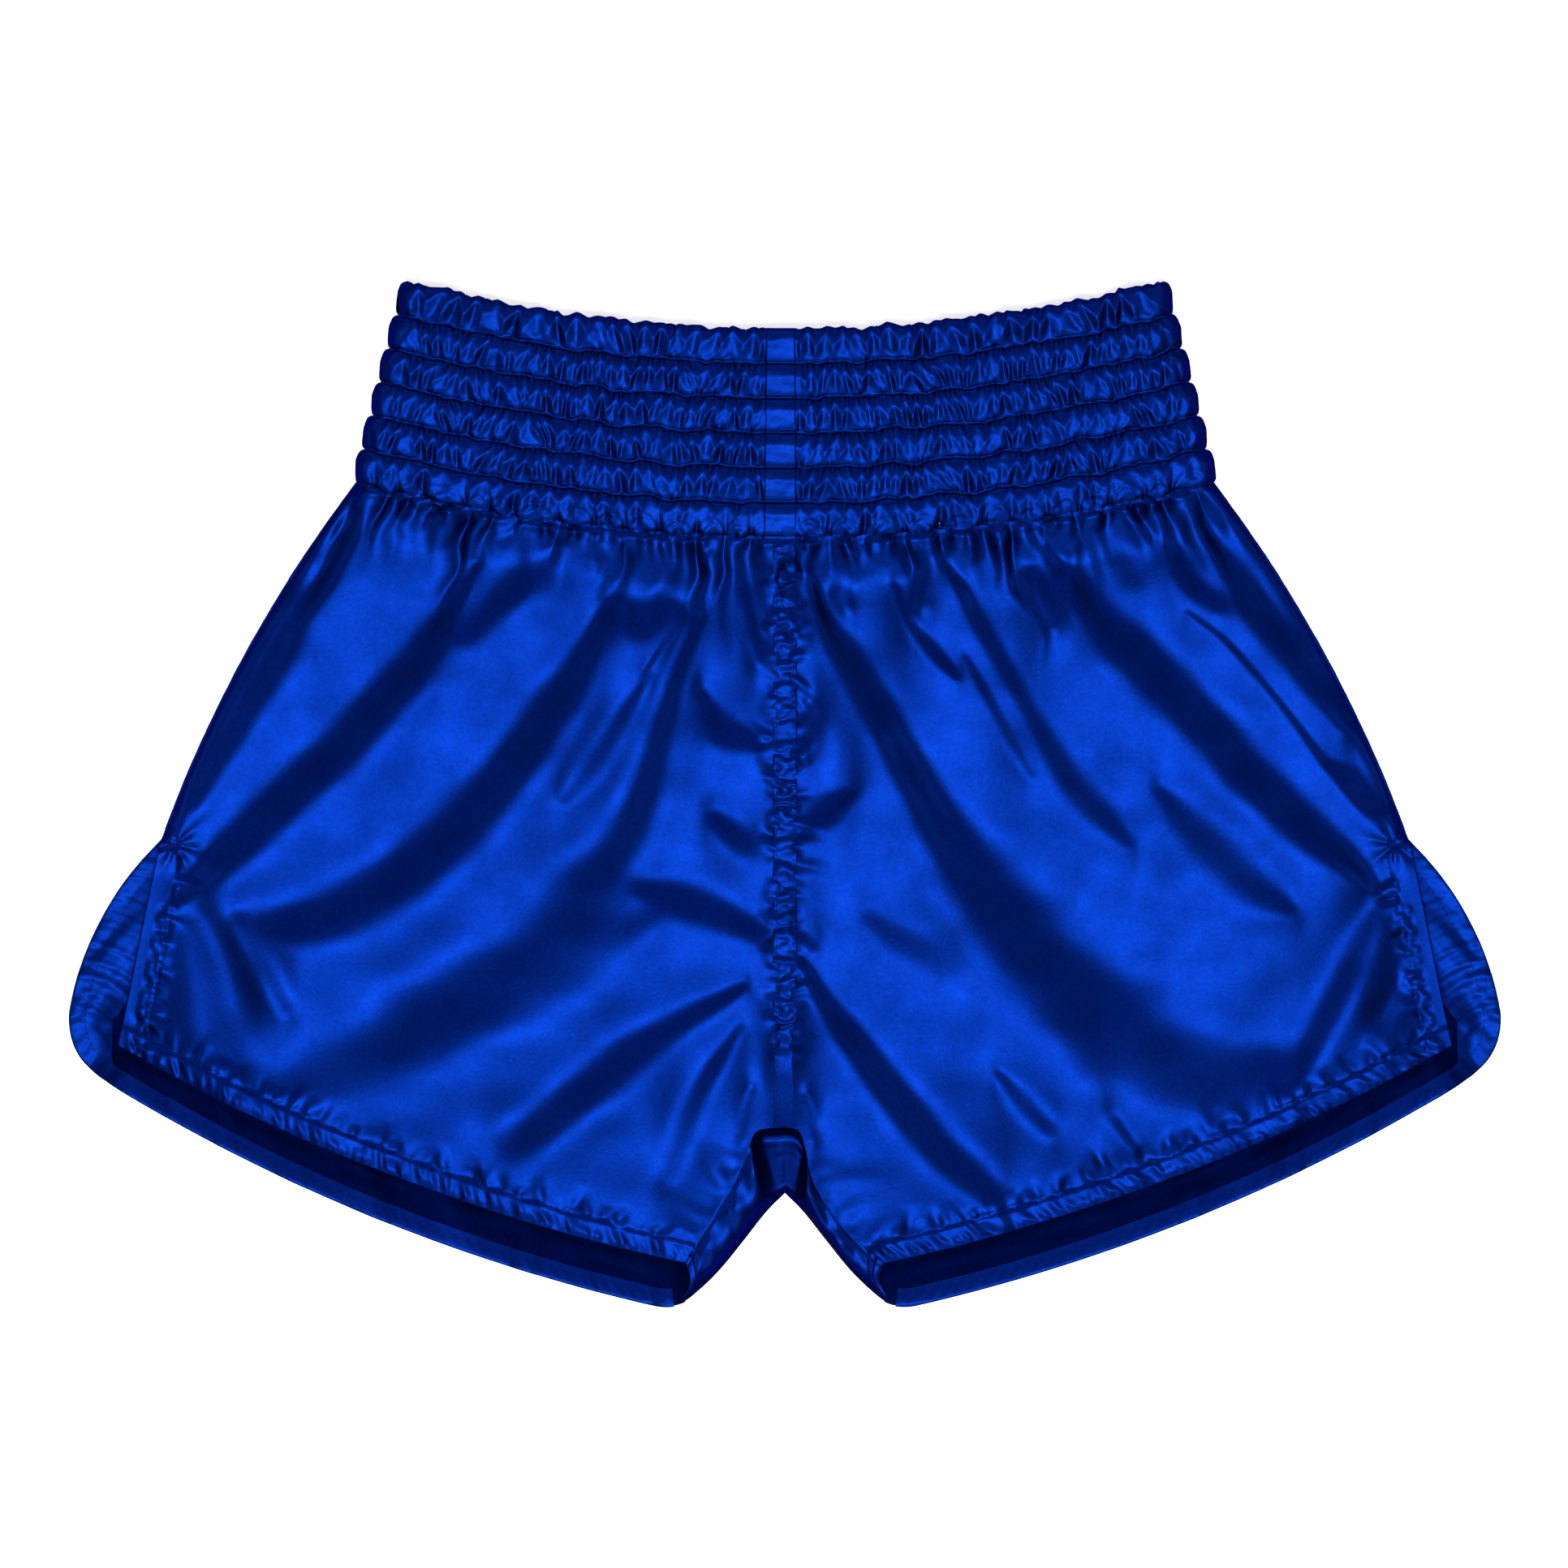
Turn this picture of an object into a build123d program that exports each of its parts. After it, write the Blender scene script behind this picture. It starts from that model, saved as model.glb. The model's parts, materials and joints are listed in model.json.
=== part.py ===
from build123d import *
import math
import os

# Satin boxing shorts with a shirred elastic waistband, laid flat on a table with the front up.
# +X points to the wearer's left, +Y to the waist and +Z up, away from the table. The origin is under
# the middle of the shorts, on the table. Left and right are the wearer's. The waistband and the top
# of the body are parts of a flat cone, so their edges are arcs about one centre beyond the waist.

# Cloth and the height of the layers above the table
cloth = 1.2
facing = 1.0
thread_width = 0.6
thread_height = 0.4
front_top = 14.0
front_low = front_top - cloth

# Waistband: six elastic channels between the folded top edge and the waist seam
cone_y = 873.2
waist_radius = 668.0
channel_count = 6
channel_pitch = 92.0 / channel_count
seam_radius = waist_radius + channel_count * channel_pitch
flat_angle = 14.0
waist_middle = 9.0
lining_inside = 3.0
layer = 0.8
lining_outside = lining_inside + layer
cover_at_stitches = lining_outside + layer
cover_crest = 9.0
stitch_land = 2.4
last_row_back = 0.8
elastic_width = 10.0
elastic_thickness = 1.6
elastic_clearance = 0.5
strip_width = 14.0

# Body outline on the wearer's left half, from the waist round to the crotch
slit_top = (276.0, -21.0)
side_bulge = (238.0, 63.0)
front_corner = (295.0, -112.0)
front_hem_middle = (139.3, -181.3)
front_inseam_end = (44.0, -208.0)
front_crotch = (0.0, -148.0)
back_slit_bulge = (304.0, -58.0)
back_corner = (319.0, -116.0)
back_hem_middle = (196.6, -181.5)
back_inseam_end = (50.0, -226.2)
back_crotch = (0.0, -178.0)
front_corner_radius = 5.0
back_corner_radius = 18.0
back_inseam_radius = 3.0
above_waist = 160.0

# Seams, hems and slits
side_wall = 1.5
back_lip = 6.0
hem_width = 10.0
hem_stitch = 9.0
slit_facing_width = 12.0
slit_stitch = 11.0
fell_width = 10.0
fell_stitch = 4.0
fell_height = 0.8
fold_reach = 120.0
fold_clearance = 4.0
gusset_foot = 2.8
gusset_end = (46.0, -222.0)
gusset_hem_share = 0.82
bartack_size = (7.0, 2.0, 0.6)

os.makedirs("parts", exist_ok=True)


def save(piece, name):
    """Label one finished piece and write it as its own STEP file."""
    piece.label = name
    export_step(piece, f"parts/{name}.step")


def save_pair(piece, name):
    """Write the piece of the left half, and its mirror image for the right half."""
    save(piece, name + "_left")
    with BuildPart() as twin:
        mirror(piece, about=Plane.YZ)
    save(twin.part, name + "_right")


def on_cone(radius, angle):
    """The point at a radius and an angle in degrees about the cone's centre, from -Y towards +X."""
    turn = math.radians(angle)
    return (radius * math.sin(turn), cone_y - radius * math.cos(turn))


def unit(start, end):
    """The direction from one point of the table to another, and the one a right turn from it."""
    along = (Vector(*end) - Vector(*start)).normalized()
    return along, Vector(along.Y, -along.X)


# Where the side seam leaves the rounded end of the waistband
turn_x = cover_at_stitches * math.cos(math.radians(flat_angle))
turn_y = cover_at_stitches * math.sin(math.radians(flat_angle))
side_start = (on_cone(seam_radius, flat_angle)[0] + turn_x, on_cone(seam_radius, flat_angle)[1] + turn_y)

# The line that the front flap folds about runs from the slit's top to the inseam's end at the hem
fold_along, fold_out = unit(front_inseam_end, slit_top)


def body_outline(slit_bulge, corner, corner_radius, hem_middle, inseam_end, inseam_radius, crotch):
    """The left half of the front or the back, as one flat face below the waist seam."""
    with BuildSketch() as outline:
        with BuildLine():
            Line(crotch, (0, above_waist))
            Line((0, above_waist), (side_start[0], above_waist))
            Line((side_start[0], above_waist), side_start)
            ThreePointArc(side_start, side_bulge, slit_top)
            if slit_bulge:
                ThreePointArc(slit_top, slit_bulge, corner)
            else:
                Line(slit_top, corner)
            ThreePointArc(corner, hem_middle, inseam_end)
            Line(inseam_end, crotch)
        make_face()
        fillet(outline.vertices().sort_by_distance(corner)[0], corner_radius)
        if inseam_radius:
            fillet(outline.vertices().sort_by_distance(inseam_end)[0], inseam_radius)
        with Locations((0, cone_y)):
            Circle(seam_radius, mode=Mode.SUBTRACT)
    return outline.sketch


front_face = body_outline(
    None, front_corner, front_corner_radius, front_hem_middle, front_inseam_end, 0, front_crotch
)
back_face = body_outline(
    back_slit_bulge, back_corner, back_corner_radius, back_hem_middle, back_inseam_end,
    back_inseam_radius, back_crotch,
)


def fold_zone(clear=0.0):
    """Everything on the free side of the fold line, kept clear of the line by a distance."""
    low = Vector(*front_inseam_end) + fold_out * clear
    high = Vector(*slit_top) + fold_out * clear
    with BuildSketch() as zone:
        with BuildLine():
            Polyline(low, high, high + fold_out * fold_reach, low + fold_out * fold_reach, close=True)
        make_face()
    return zone.sketch


def edge_band(face, near, far):
    """The ring of a face between two distances from its edge."""
    with BuildSketch() as band:
        add(face)
        if near:
            offset(amount=-near, kind=Kind.INTERSECTION, mode=Mode.REPLACE)
        add(offset(face, amount=-far, kind=Kind.INTERSECTION, mode=Mode.PRIVATE), mode=Mode.SUBTRACT)
    return band.sketch


def slit_strip(near, far):
    """A strip along the front's slit edge, between two distances from it."""
    along, inward = unit(slit_top, front_corner)
    start = Vector(*slit_top) - along * fold_reach
    end = Vector(*front_corner) + along * fold_reach
    with BuildSketch() as strip:
        with BuildLine():
            Polyline(
                start + inward * near,
                end + inward * near,
                end + inward * far,
                start + inward * far,
                close=True,
            )
        make_face()
    return strip.sketch


def back_hem_zone():
    """The part of the back's edge that is hemmed: the slit, the corner and the leg opening."""
    foot = (back_inseam_end[0] + back_inseam_radius * 2, back_inseam_end[1])
    with BuildSketch() as zone:
        with BuildLine():
            Polyline(
                slit_top,
                (slit_top[0] + fold_reach, slit_top[1]),
                (slit_top[0] + fold_reach, foot[1] - fold_reach),
                (foot[0], foot[1] - fold_reach),
                (foot[0], foot[1] + gusset_foot),
                close=True,
            )
        make_face()
    return zone.sketch


# Front: the panel that stays down, and the flap below the fold line that the side slit frees
with BuildPart() as front_panel:
    with BuildSketch(Plane.XY.offset(front_low)):
        add(front_face)
        add(fold_zone(), mode=Mode.SUBTRACT)
    extrude(amount=cloth)
save_pair(front_panel.part, "front_panel")

with BuildPart() as front_flap:
    with BuildSketch(Plane.XY.offset(front_low)):
        add(front_face)
        add(fold_zone(), mode=Mode.INTERSECT)
    extrude(amount=cloth)
save_pair(front_flap.part, "front_flap")

# The front's slit facing and hem are turned to the inside, under the flap
with BuildPart() as front_slit_facing:
    with BuildSketch(Plane.XY.offset(front_low - facing)):
        add(front_face)
        add(fold_zone(fold_clearance), mode=Mode.INTERSECT)
        add(slit_strip(0, slit_facing_width), mode=Mode.INTERSECT)
    extrude(amount=facing)
save_pair(front_slit_facing.part, "front_slit_facing")

with BuildPart() as front_hem:
    with BuildSketch(Plane.XY.offset(front_low - facing)):
        add(edge_band(front_face, 0, hem_width))
        add(fold_zone(fold_clearance), mode=Mode.INTERSECT)
        add(slit_strip(-fold_reach, slit_facing_width), mode=Mode.SUBTRACT)
    extrude(amount=facing)
save_pair(front_hem.part, "front_hem")

# The rows of thread that hold them, on the outside of the flap
with BuildPart() as front_hem_stitching:
    with BuildSketch(Plane.XY.offset(front_top)):
        add(edge_band(front_face, hem_stitch, hem_stitch + thread_width))
        add(fold_zone(fold_clearance), mode=Mode.INTERSECT)
        add(slit_strip(-fold_reach, slit_facing_width), mode=Mode.SUBTRACT)
    extrude(amount=thread_height)
save_pair(front_hem_stitching.part, "front_hem_stitching")

with BuildPart() as front_slit_stitching:
    with BuildSketch(Plane.XY.offset(front_top)):
        add(front_face)
        add(fold_zone(fold_clearance), mode=Mode.INTERSECT)
        add(slit_strip(slit_stitch, slit_stitch + thread_width), mode=Mode.INTERSECT)
    extrude(amount=thread_height)
save_pair(front_slit_stitching.part, "front_slit_stitching")

# Back: a panel on the table, with a lip that climbs to the underside of the waistband
with BuildPart() as back_panel:
    with BuildSketch():
        add(back_face)
        with Locations((0, cone_y)):
            Circle(seam_radius + back_lip, mode=Mode.SUBTRACT)
    extrude(amount=cloth)
    with BuildSketch(Plane(origin=(0, cone_y, 0), x_dir=(0, -1, 0), z_dir=(-1, 0, 0))):
        with BuildLine():
            Polyline(
                (seam_radius + back_lip, 0),
                (seam_radius + back_lip, cloth),
                (seam_radius, waist_middle - lining_outside),
                (seam_radius, waist_middle - cover_at_stitches),
                close=True,
            )
        make_face()
    revolve(axis=Axis((0, cone_y, 0), (0, 0, 1)), revolution_arc=flat_angle)
save_pair(back_panel.part, "back_panel")

with BuildPart() as back_edge_facing:
    with BuildSketch(Plane.XY.offset(cloth)):
        add(edge_band(back_face, 0, hem_width))
        add(back_hem_zone(), mode=Mode.INTERSECT)
    extrude(amount=facing)
save_pair(back_edge_facing.part, "back_edge_facing")

with BuildPart() as back_edge_stitching:
    with BuildSketch(Plane.XY.offset(cloth + facing)):
        add(edge_band(back_face, hem_stitch, hem_stitch + thread_width))
        add(back_hem_zone(), mode=Mode.INTERSECT)
    extrude(amount=thread_height)
save_pair(back_edge_stitching.part, "back_edge_stitching")

# Side seam: the rounded edge between the front and the back, from the waist to the slit
with BuildPart() as side_seam:
    with BuildSketch():
        with BuildLine() as side_line:
            ThreePointArc(side_start, side_bulge, slit_top)
            offset(amount=side_wall, side=Side.LEFT)
        make_face()
    extrude(amount=front_top)
save_pair(side_seam.part, "side_seam")

# Bar tack across the top of the slit, on the front
side_along, _ = unit(side_bulge, slit_top)
tack_place = Vector(*slit_top) - side_along * bartack_size[0] - fold_out * bartack_size[0]
with BuildPart() as slit_bartack:
    tack_plane = Plane(
        origin=(tack_place.X, tack_place.Y, front_top),
        x_dir=(side_along.X, side_along.Y, 0),
        z_dir=(0, 0, 1),
    )
    with BuildSketch(tack_plane):
        Rectangle(bartack_size[0], bartack_size[1])
    extrude(amount=bartack_size[2])
    fillet(slit_bartack.edges().filter_by(Axis.Z), bartack_size[1] / 3)
save_pair(slit_bartack.part, "slit_bartack")


def gusset_section(share, drop=0.0, foot=gusset_foot):
    """One upright slice of the gusset, from the front's inseam edge down to the back, as its
    plane and its corners. share runs from 0 at the crotch to 1 at the leg opening."""
    high = Vector(*front_crotch) + (Vector(*front_inseam_end) - Vector(*front_crotch)) * share
    low = Vector(*back_crotch) + (Vector(*gusset_end) - Vector(*back_crotch)) * share
    along, _ = unit((high.X, high.Y), (low.X, low.Y))
    reach = (low - high).length
    inner = reach - (gusset_foot if drop else 0)
    plane = Plane(origin=(high.X, high.Y, 0), x_dir=(along.X, along.Y, 0), z_dir=(along.Y, -along.X, 0))
    corners = [(0, front_top - drop), (0, front_low - drop), (inner - foot, cloth), (inner, cloth)]
    return plane, corners


def gusset_sheet(*sections):
    """A ruled sheet through upright slices."""
    with BuildPart() as sheet:
        for plane, corners in sections:
            with BuildSketch(plane):
                with BuildLine():
                    Polyline(*corners, close=True)
                make_face()
        loft(ruled=True)
    return sheet.part


# Crotch gusset: one piece of cloth from one leg opening, over the crotch, to the other
gusset_half = gusset_sheet(gusset_section(0), gusset_section(1))
with BuildPart() as crotch_gusset:
    add(gusset_half)
    mirror(about=Plane.YZ)
save(crotch_gusset.part, "crotch_gusset")

gusset_hem = gusset_sheet(
    gusset_section(gusset_hem_share, cloth, gusset_foot * facing / cloth),
    gusset_section(1, cloth, gusset_foot * facing / cloth),
)
save_pair(gusset_hem, "gusset_hem")

# Felled seams down the middle of the front and the back
front_fell_length = cone_y - seam_radius - front_crotch[1] - 2
with BuildPart() as centre_front_seam:
    with BuildSketch(Plane.XY.offset(front_top)):
        with Locations((0, front_crotch[1] + 1)):
            Rectangle(fell_width, front_fell_length, align=(Align.CENTER, Align.MIN))
    extrude(amount=fell_height)
save(centre_front_seam.part, "centre_front_seam")

with BuildPart() as centre_front_stitching:
    with BuildSketch(Plane.XY.offset(front_top + fell_height)):
        for place in (-fell_stitch, fell_stitch):
            with Locations((place, front_crotch[1] + 1)):
                Rectangle(thread_width, front_fell_length, align=(Align.CENTER, Align.MIN))
    extrude(amount=thread_height)
save(centre_front_stitching.part, "centre_front_stitching")

back_fell_length = cone_y - seam_radius - back_lip - back_crotch[1] - 8
with BuildPart() as centre_back_seam:
    with BuildSketch(Plane.XY.offset(cloth)):
        with Locations((0, back_crotch[1] + 6)):
            Rectangle(fell_width, back_fell_length, align=(Align.CENTER, Align.MIN))
    extrude(amount=fell_height)
save(centre_back_seam.part, "centre_back_seam")


def radial_plane(angle):
    """An upright plane through the cone's centre: x is the radius, y the height above the middle
    of the waistband's thickness."""
    turn = math.radians(angle)
    out = Vector(math.sin(turn), -math.cos(turn), 0)
    return Plane(origin=(0, cone_y, waist_middle), x_dir=out, z_dir=out.cross(Vector(0, 0, 1)))


def waist_loop(profile):
    """Carry a profile of radius and height round the flattened waist: the front, the back, and a
    half turn at each side."""
    upright = Axis((0, cone_y, 0), (0, 0, 1))
    with BuildPart() as loop:
        with BuildSketch(radial_plane(-flat_angle)):
            add(profile)
        revolve(axis=upright, revolution_arc=2 * flat_angle)
        mirror(about=Plane.XY.offset(waist_middle))
        for side in (1, -1):
            plane = radial_plane(side * flat_angle)
            with BuildSketch(plane):
                add(profile)
            revolve(axis=Axis(plane.origin, plane.x_dir * -side), revolution_arc=180)
    return loop.part


def channel_edges(index):
    """Where a channel's bulge starts and ends along the radius, between the stitched lands."""
    start = waist_radius + index * channel_pitch + stitch_land / 2
    return start, start + channel_pitch - stitch_land


def scalloped_profile(rise):
    """The cover's outline over all the channels, one layer thick, raised off the lining."""
    low = lining_outside + rise
    high = cover_crest + rise - layer
    with BuildSketch() as profile:
        with BuildLine():
            for height in (0, layer):
                at = (waist_radius, low + height)
                for index in range(channel_count):
                    start, end = channel_edges(index)
                    Line(at, (start, low + height))
                    ThreePointArc(
                        (start, low + height), ((start + end) / 2, high + height), (end, low + height)
                    )
                    at = (end, low + height)
                Line(at, (seam_radius, low + height))
            for radius in (waist_radius, seam_radius):
                Line((radius, low), (radius, low + layer))
        make_face()
    return profile.sketch


def bar_profile(radius, width, low, thickness):
    """A rectangle in the waistband's section, centred on a radius."""
    with BuildSketch() as profile:
        with Locations((radius, low)):
            Rectangle(width, thickness, align=(Align.CENTER, Align.MIN))
    return profile.sketch


# Waistband: outer cover, lining, one elastic band in each channel, and the rows of stitches
save(waist_loop(scalloped_profile(0)), "waistband_cover")

lining_radius = (waist_radius + seam_radius) / 2
lining_profile = bar_profile(lining_radius, seam_radius - waist_radius, lining_inside, layer)
save(waist_loop(lining_profile), "waistband_lining")

for number in range(channel_count):
    band_profile = bar_profile(
        waist_radius + (number + 0.5) * channel_pitch,
        elastic_width,
        lining_outside + elastic_clearance,
        elastic_thickness,
    )
    save(waist_loop(band_profile), f"elastic_band_{number + 1}")

# The flat strip over the join at the middle of the front
strip_angle = math.degrees(strip_width / 2 / lining_radius)
with BuildPart() as waistband_join_strip:
    with BuildSketch(radial_plane(-strip_angle)):
        add(scalloped_profile(layer))
    revolve(axis=Axis((0, cone_y, 0), (0, 0, 1)), revolution_arc=2 * strip_angle)
save(waistband_join_strip.part, "waistband_join_strip")

with BuildPart() as waistband_stitching:
    for number in range(channel_count):
        row_radius = waist_radius + (number + 1) * channel_pitch
        if number == channel_count - 1:
            row_radius -= last_row_back
        row_profile = bar_profile(row_radius, thread_width, cover_at_stitches, thread_height)
        add(waist_loop(row_profile))
    with Locations((0, cone_y - lining_radius, waist_middle + cover_crest)):
        Box(strip_width + 2, seam_radius - waist_radius + 20, 2 * cover_crest, mode=Mode.SUBTRACT)
save(waistband_stitching.part, "waistband_stitching")
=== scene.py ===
import json
import math

import bpy
import numpy as np
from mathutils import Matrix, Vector

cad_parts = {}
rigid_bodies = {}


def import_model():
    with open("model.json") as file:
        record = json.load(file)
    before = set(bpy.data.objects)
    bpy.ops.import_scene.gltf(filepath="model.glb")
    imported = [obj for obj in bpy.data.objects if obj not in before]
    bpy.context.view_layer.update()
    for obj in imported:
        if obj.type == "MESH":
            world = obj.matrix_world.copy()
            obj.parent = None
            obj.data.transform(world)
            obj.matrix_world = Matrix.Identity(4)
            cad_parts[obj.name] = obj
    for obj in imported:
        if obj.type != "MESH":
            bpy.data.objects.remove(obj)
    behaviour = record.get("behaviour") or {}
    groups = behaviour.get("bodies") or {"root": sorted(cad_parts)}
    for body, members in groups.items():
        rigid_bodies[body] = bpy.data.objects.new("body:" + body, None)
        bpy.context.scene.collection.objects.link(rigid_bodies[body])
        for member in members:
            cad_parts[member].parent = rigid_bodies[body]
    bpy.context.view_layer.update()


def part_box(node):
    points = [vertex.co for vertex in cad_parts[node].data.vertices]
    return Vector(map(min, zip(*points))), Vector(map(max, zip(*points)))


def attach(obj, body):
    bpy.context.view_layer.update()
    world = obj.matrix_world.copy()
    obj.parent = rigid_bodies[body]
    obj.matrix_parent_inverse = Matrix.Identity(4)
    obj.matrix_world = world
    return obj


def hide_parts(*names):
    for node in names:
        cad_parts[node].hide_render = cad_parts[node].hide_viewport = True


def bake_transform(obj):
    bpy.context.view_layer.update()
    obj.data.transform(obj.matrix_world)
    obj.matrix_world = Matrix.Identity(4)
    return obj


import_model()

# Satin boxing shorts lying flat on their back, front up, +Y to the waist, +X to the wearer's left.
# Lengths in this script are millimetres; each mesh is turned to metres as it is made.

mm = 0.001
sides = {"left": 1, "right": -1}  # the wearer's

# The cut: half of the front and of the back in the plan, mirrored for the other half

cut = {
    "coneY": 873.2,  # centre of the waistband's arcs
    "waistRadius": 668.0,
    "seamRadius": 760.0,  # where the waistband meets the body
    "flatAngle": math.radians(14.0),  # from the middle to where the waistband turns round
    "slitTop": (276.0, -21.0),
    "sideBulge": (238.0, 63.0),
    "frontCorner": (295.0, -112.0),
    "frontHem": (139.3, -181.3),
    "frontInseam": (44.0, -208.0),
    "crotchArch": {  # the front's edge over the gusset, lying unlike on the two sides
        1: [(0.0, -148.0), (6.0, -149.5), (9.0, -157.0), (12.0, -170.0), (20.0, -184.0),
            (31.0, -197.5), (44.0, -208.0)],
        -1: [(0.0, -148.0), (12.0, -149.5), (16.0, -157.0), (22.0, -170.0), (30.0, -184.0),
             (39.0, -198.5), (44.0, -208.0)],
    },
    "backSlit": (304.0, -58.0),
    "backCorner": (319.0, -116.0),
    "backCornerRadius": 18.0,
    "backHem": (196.6, -181.5),
    "backHemEnd": (48.0, -229.0),
    "backInseam": [(0.0, -178.0), (8.0, -186.0), (18.0, -198.6), (26.5, -209.2), (34.6, -217.6),
                   (48.0, -229.0)],
    "backHemEndRadius": 9.0,
}
insideLeg = (150, 0)  # a place within the left leg, to tell a line's inner side
level = {
    "waistMiddle": 9.0,  # middle of the waistband's thickness above the table
    "stitchRow": 6.0,  # half its thickness at a stitch row
    "crest": 9.0,  # and at the crest of a channel
    "lining": 3.4,  # half the thickness of the lining's loop
    "front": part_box("front_panel_left")[1].z / mm,
    "side": 6.0,  # where the front and the back meet at the side
    "back": 0.5,
}


def smoothStep(low, high, x):
    t = np.clip((x - low) / (high - low), 0, 1)
    return t * t * (3 - 2 * t)


def resample(points, count):
    # the same line with its points evenly spaced
    points = np.array(points, float)
    steps = np.r_[0, np.cumsum(np.linalg.norm(np.diff(points, axis=0), axis=1))]
    at = np.linspace(0, steps[-1], count)
    return np.stack([np.interp(at, steps, points[:, k]) for k in range(points.shape[1])], 1)


def lineLength(line):
    return np.linalg.norm(np.diff(line, axis=0), axis=1).sum()


def arcLine(a, b, c, count=60):
    # the circle's arc through three points
    a, b, c = (complex(*p) for p in (a, b, c))
    w = (c - a) / (b - a)
    centre = a + (b - a) * (w - abs(w) ** 2) / (2j * w.imag)
    turn = np.unwrap([np.angle(p - centre) for p in (a, b, c)])
    ring = centre + abs(a - centre) * np.exp(1j * np.linspace(turn[0], turn[2], count))
    return np.stack([ring.real, ring.imag], 1)


def smoothLine(points, count):
    # a Catmull-Rom curve through a few given points
    p = np.array(points, float)
    p = np.vstack([2 * p[0] - p[1], p, 2 * p[-1] - p[-2]])
    t = np.linspace(0, 1, 24, endpoint=False)[:, None]
    runs = []
    for k in range(1, len(p) - 2):
        a, b, c, d = p[k - 1:k + 3]
        bend = (2 * a - 5 * b + 4 * c - d) * t**2 + (3 * b - a - 3 * c + d) * t**3
        runs.append(0.5 * (2 * b + (c - a) * t + bend))
    return resample(np.vstack(runs + [p[-2][None]]), count)


def joinLines(*runs):
    return np.concatenate([runs[0]] + [r[1:] for r in runs[1:]])


def roundCorner(before, after, radius):
    # two lines that meet in a corner, rounded off; gives each up to the middle of the round
    corner = before[-1]
    b = before[np.linalg.norm(before - corner, axis=1) > radius]
    a = after[np.linalg.norm(after - corner, axis=1) > radius]
    t = np.linspace(0, 1, 21)[:, None]
    bow = (1 - t) ** 2 * b[-1] + 2 * t * (1 - t) * corner + t**2 * a[0]
    return joinLines(b, bow[:11]), joinLines(bow[10:], a)


def onCone(radius, angle):
    return np.stack([radius * np.sin(angle), cut["coneY"] - radius * np.cos(angle)], -1)


def mirrored(points, side):
    return points * ([side, 1, 1] if points.shape[-1] == 3 else [side, 1])


def lineDistance(line, points, count=18):
    # how far points are from a line, and how far along the line the nearest place is
    best = np.full(points.shape[:-1], 1e9)
    along = np.zeros(points.shape[:-1])
    run = 0.0
    line = resample(line, count)
    for a, b in zip(line[:-1], line[1:]):
        d = b - a
        length = np.hypot(*d)
        t = np.clip(((points - a) @ d) / length**2, 0, 1)
        gap = np.hypot(points[..., 0] - a[0] - t * d[0], points[..., 1] - a[1] - t * d[1])
        nearer = gap < best
        best = np.where(nearer, gap, best)
        along = np.where(nearer, run + t * length, along)
        run += length
    return best, along


def inwardOf(line, toward):
    # unit normals of a line, on the side of a point
    d = np.gradient(line, axis=0)
    n = np.stack([-d[:, 1], d[:, 0]], 1) / np.linalg.norm(d, axis=1)[:, None]
    return n * np.sign(np.sum(n * (np.array(toward) - line), 1))[:, None]


def coonsGrid(top, bottom, inner, outer):
    # points between four edges: top and bottom run outwards, inner and outer run downwards
    s, t = np.linspace(0, 1, len(top))[:, None, None], np.linspace(0, 1, len(inner))[None, :, None]
    across = (1 - s) * inner[None] + s * outer[None]
    down = (1 - t) * top[:, None] + t * bottom[:, None]
    corners = (1 - s) * ((1 - t) * inner[0] + t * inner[-1]) + s * ((1 - t) * outer[0] + t * outer[-1])
    return across + down - corners


waistEnd = onCone(cut["seamRadius"], cut["flatAngle"])
sideways = np.array([math.cos(cut["flatAngle"]), math.sin(cut["flatAngle"])])  # out of the band's left end
sideStart = waistEnd + level["stitchRow"] * sideways
waistArc = onCone(cut["seamRadius"], np.linspace(0, cut["flatAngle"], 40))
waistLine = joinLines(waistArc, np.linspace(waistEnd, sideStart, 4))
sideLine = arcLine(sideStart, cut["sideBulge"], cut["slitTop"], 40)
frontSlitLine = np.linspace(cut["slitTop"], cut["frontCorner"], 20)
frontHemLine = arcLine(cut["frontInseam"], cut["frontHem"], cut["frontCorner"])
archLine = {side: smoothLine(points, 50) for side, points in cut["crotchArch"].items()}
backSlitLine = arcLine(cut["slitTop"], cut["backSlit"], cut["backCorner"], 40)
backHemLine = arcLine(cut["backCorner"], cut["backHem"], cut["backHemEnd"], 80)
backSlitLine, backHemLine = roundCorner(backSlitLine, backHemLine, cut["backCornerRadius"])
backInseamLine = smoothLine(cut["backInseam"], 40)[::-1]
backHemLine, backInseamLine = roundCorner(backHemLine, backInseamLine, cut["backHemEndRadius"])
backInseamLine = backInseamLine[::-1]


# Noise: sums of a few random waves, the same on each run

def waveNoise(seed, x, y, size, octaves=2):
    rng = np.random.default_rng(seed)
    total = 0.0
    for octave in range(octaves):
        for wave in range(7):
            heading = rng.uniform(0, 2 * np.pi)
            k = 2 * np.pi / size * rng.uniform(0.6, 1.4) * 2**octave
            phase = rng.uniform(0, 6.28)
            total = total + np.sin(k * (np.cos(heading) * x + np.sin(heading) * y) + phase) / 2**octave
    return total / 3.5


def unevenIndex(seed, low, high, pitch, spread):
    # positions about a pitch apart, no two gaps alike
    rng = np.random.default_rng(seed)
    gaps = pitch * (1 + spread * rng.uniform(-1, 1, int((high - low) / pitch * 1.5) + 4))
    at = low + np.cumsum(gaps)
    return at[:np.searchsorted(at, high) + 2], rng


# Meshes

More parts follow.
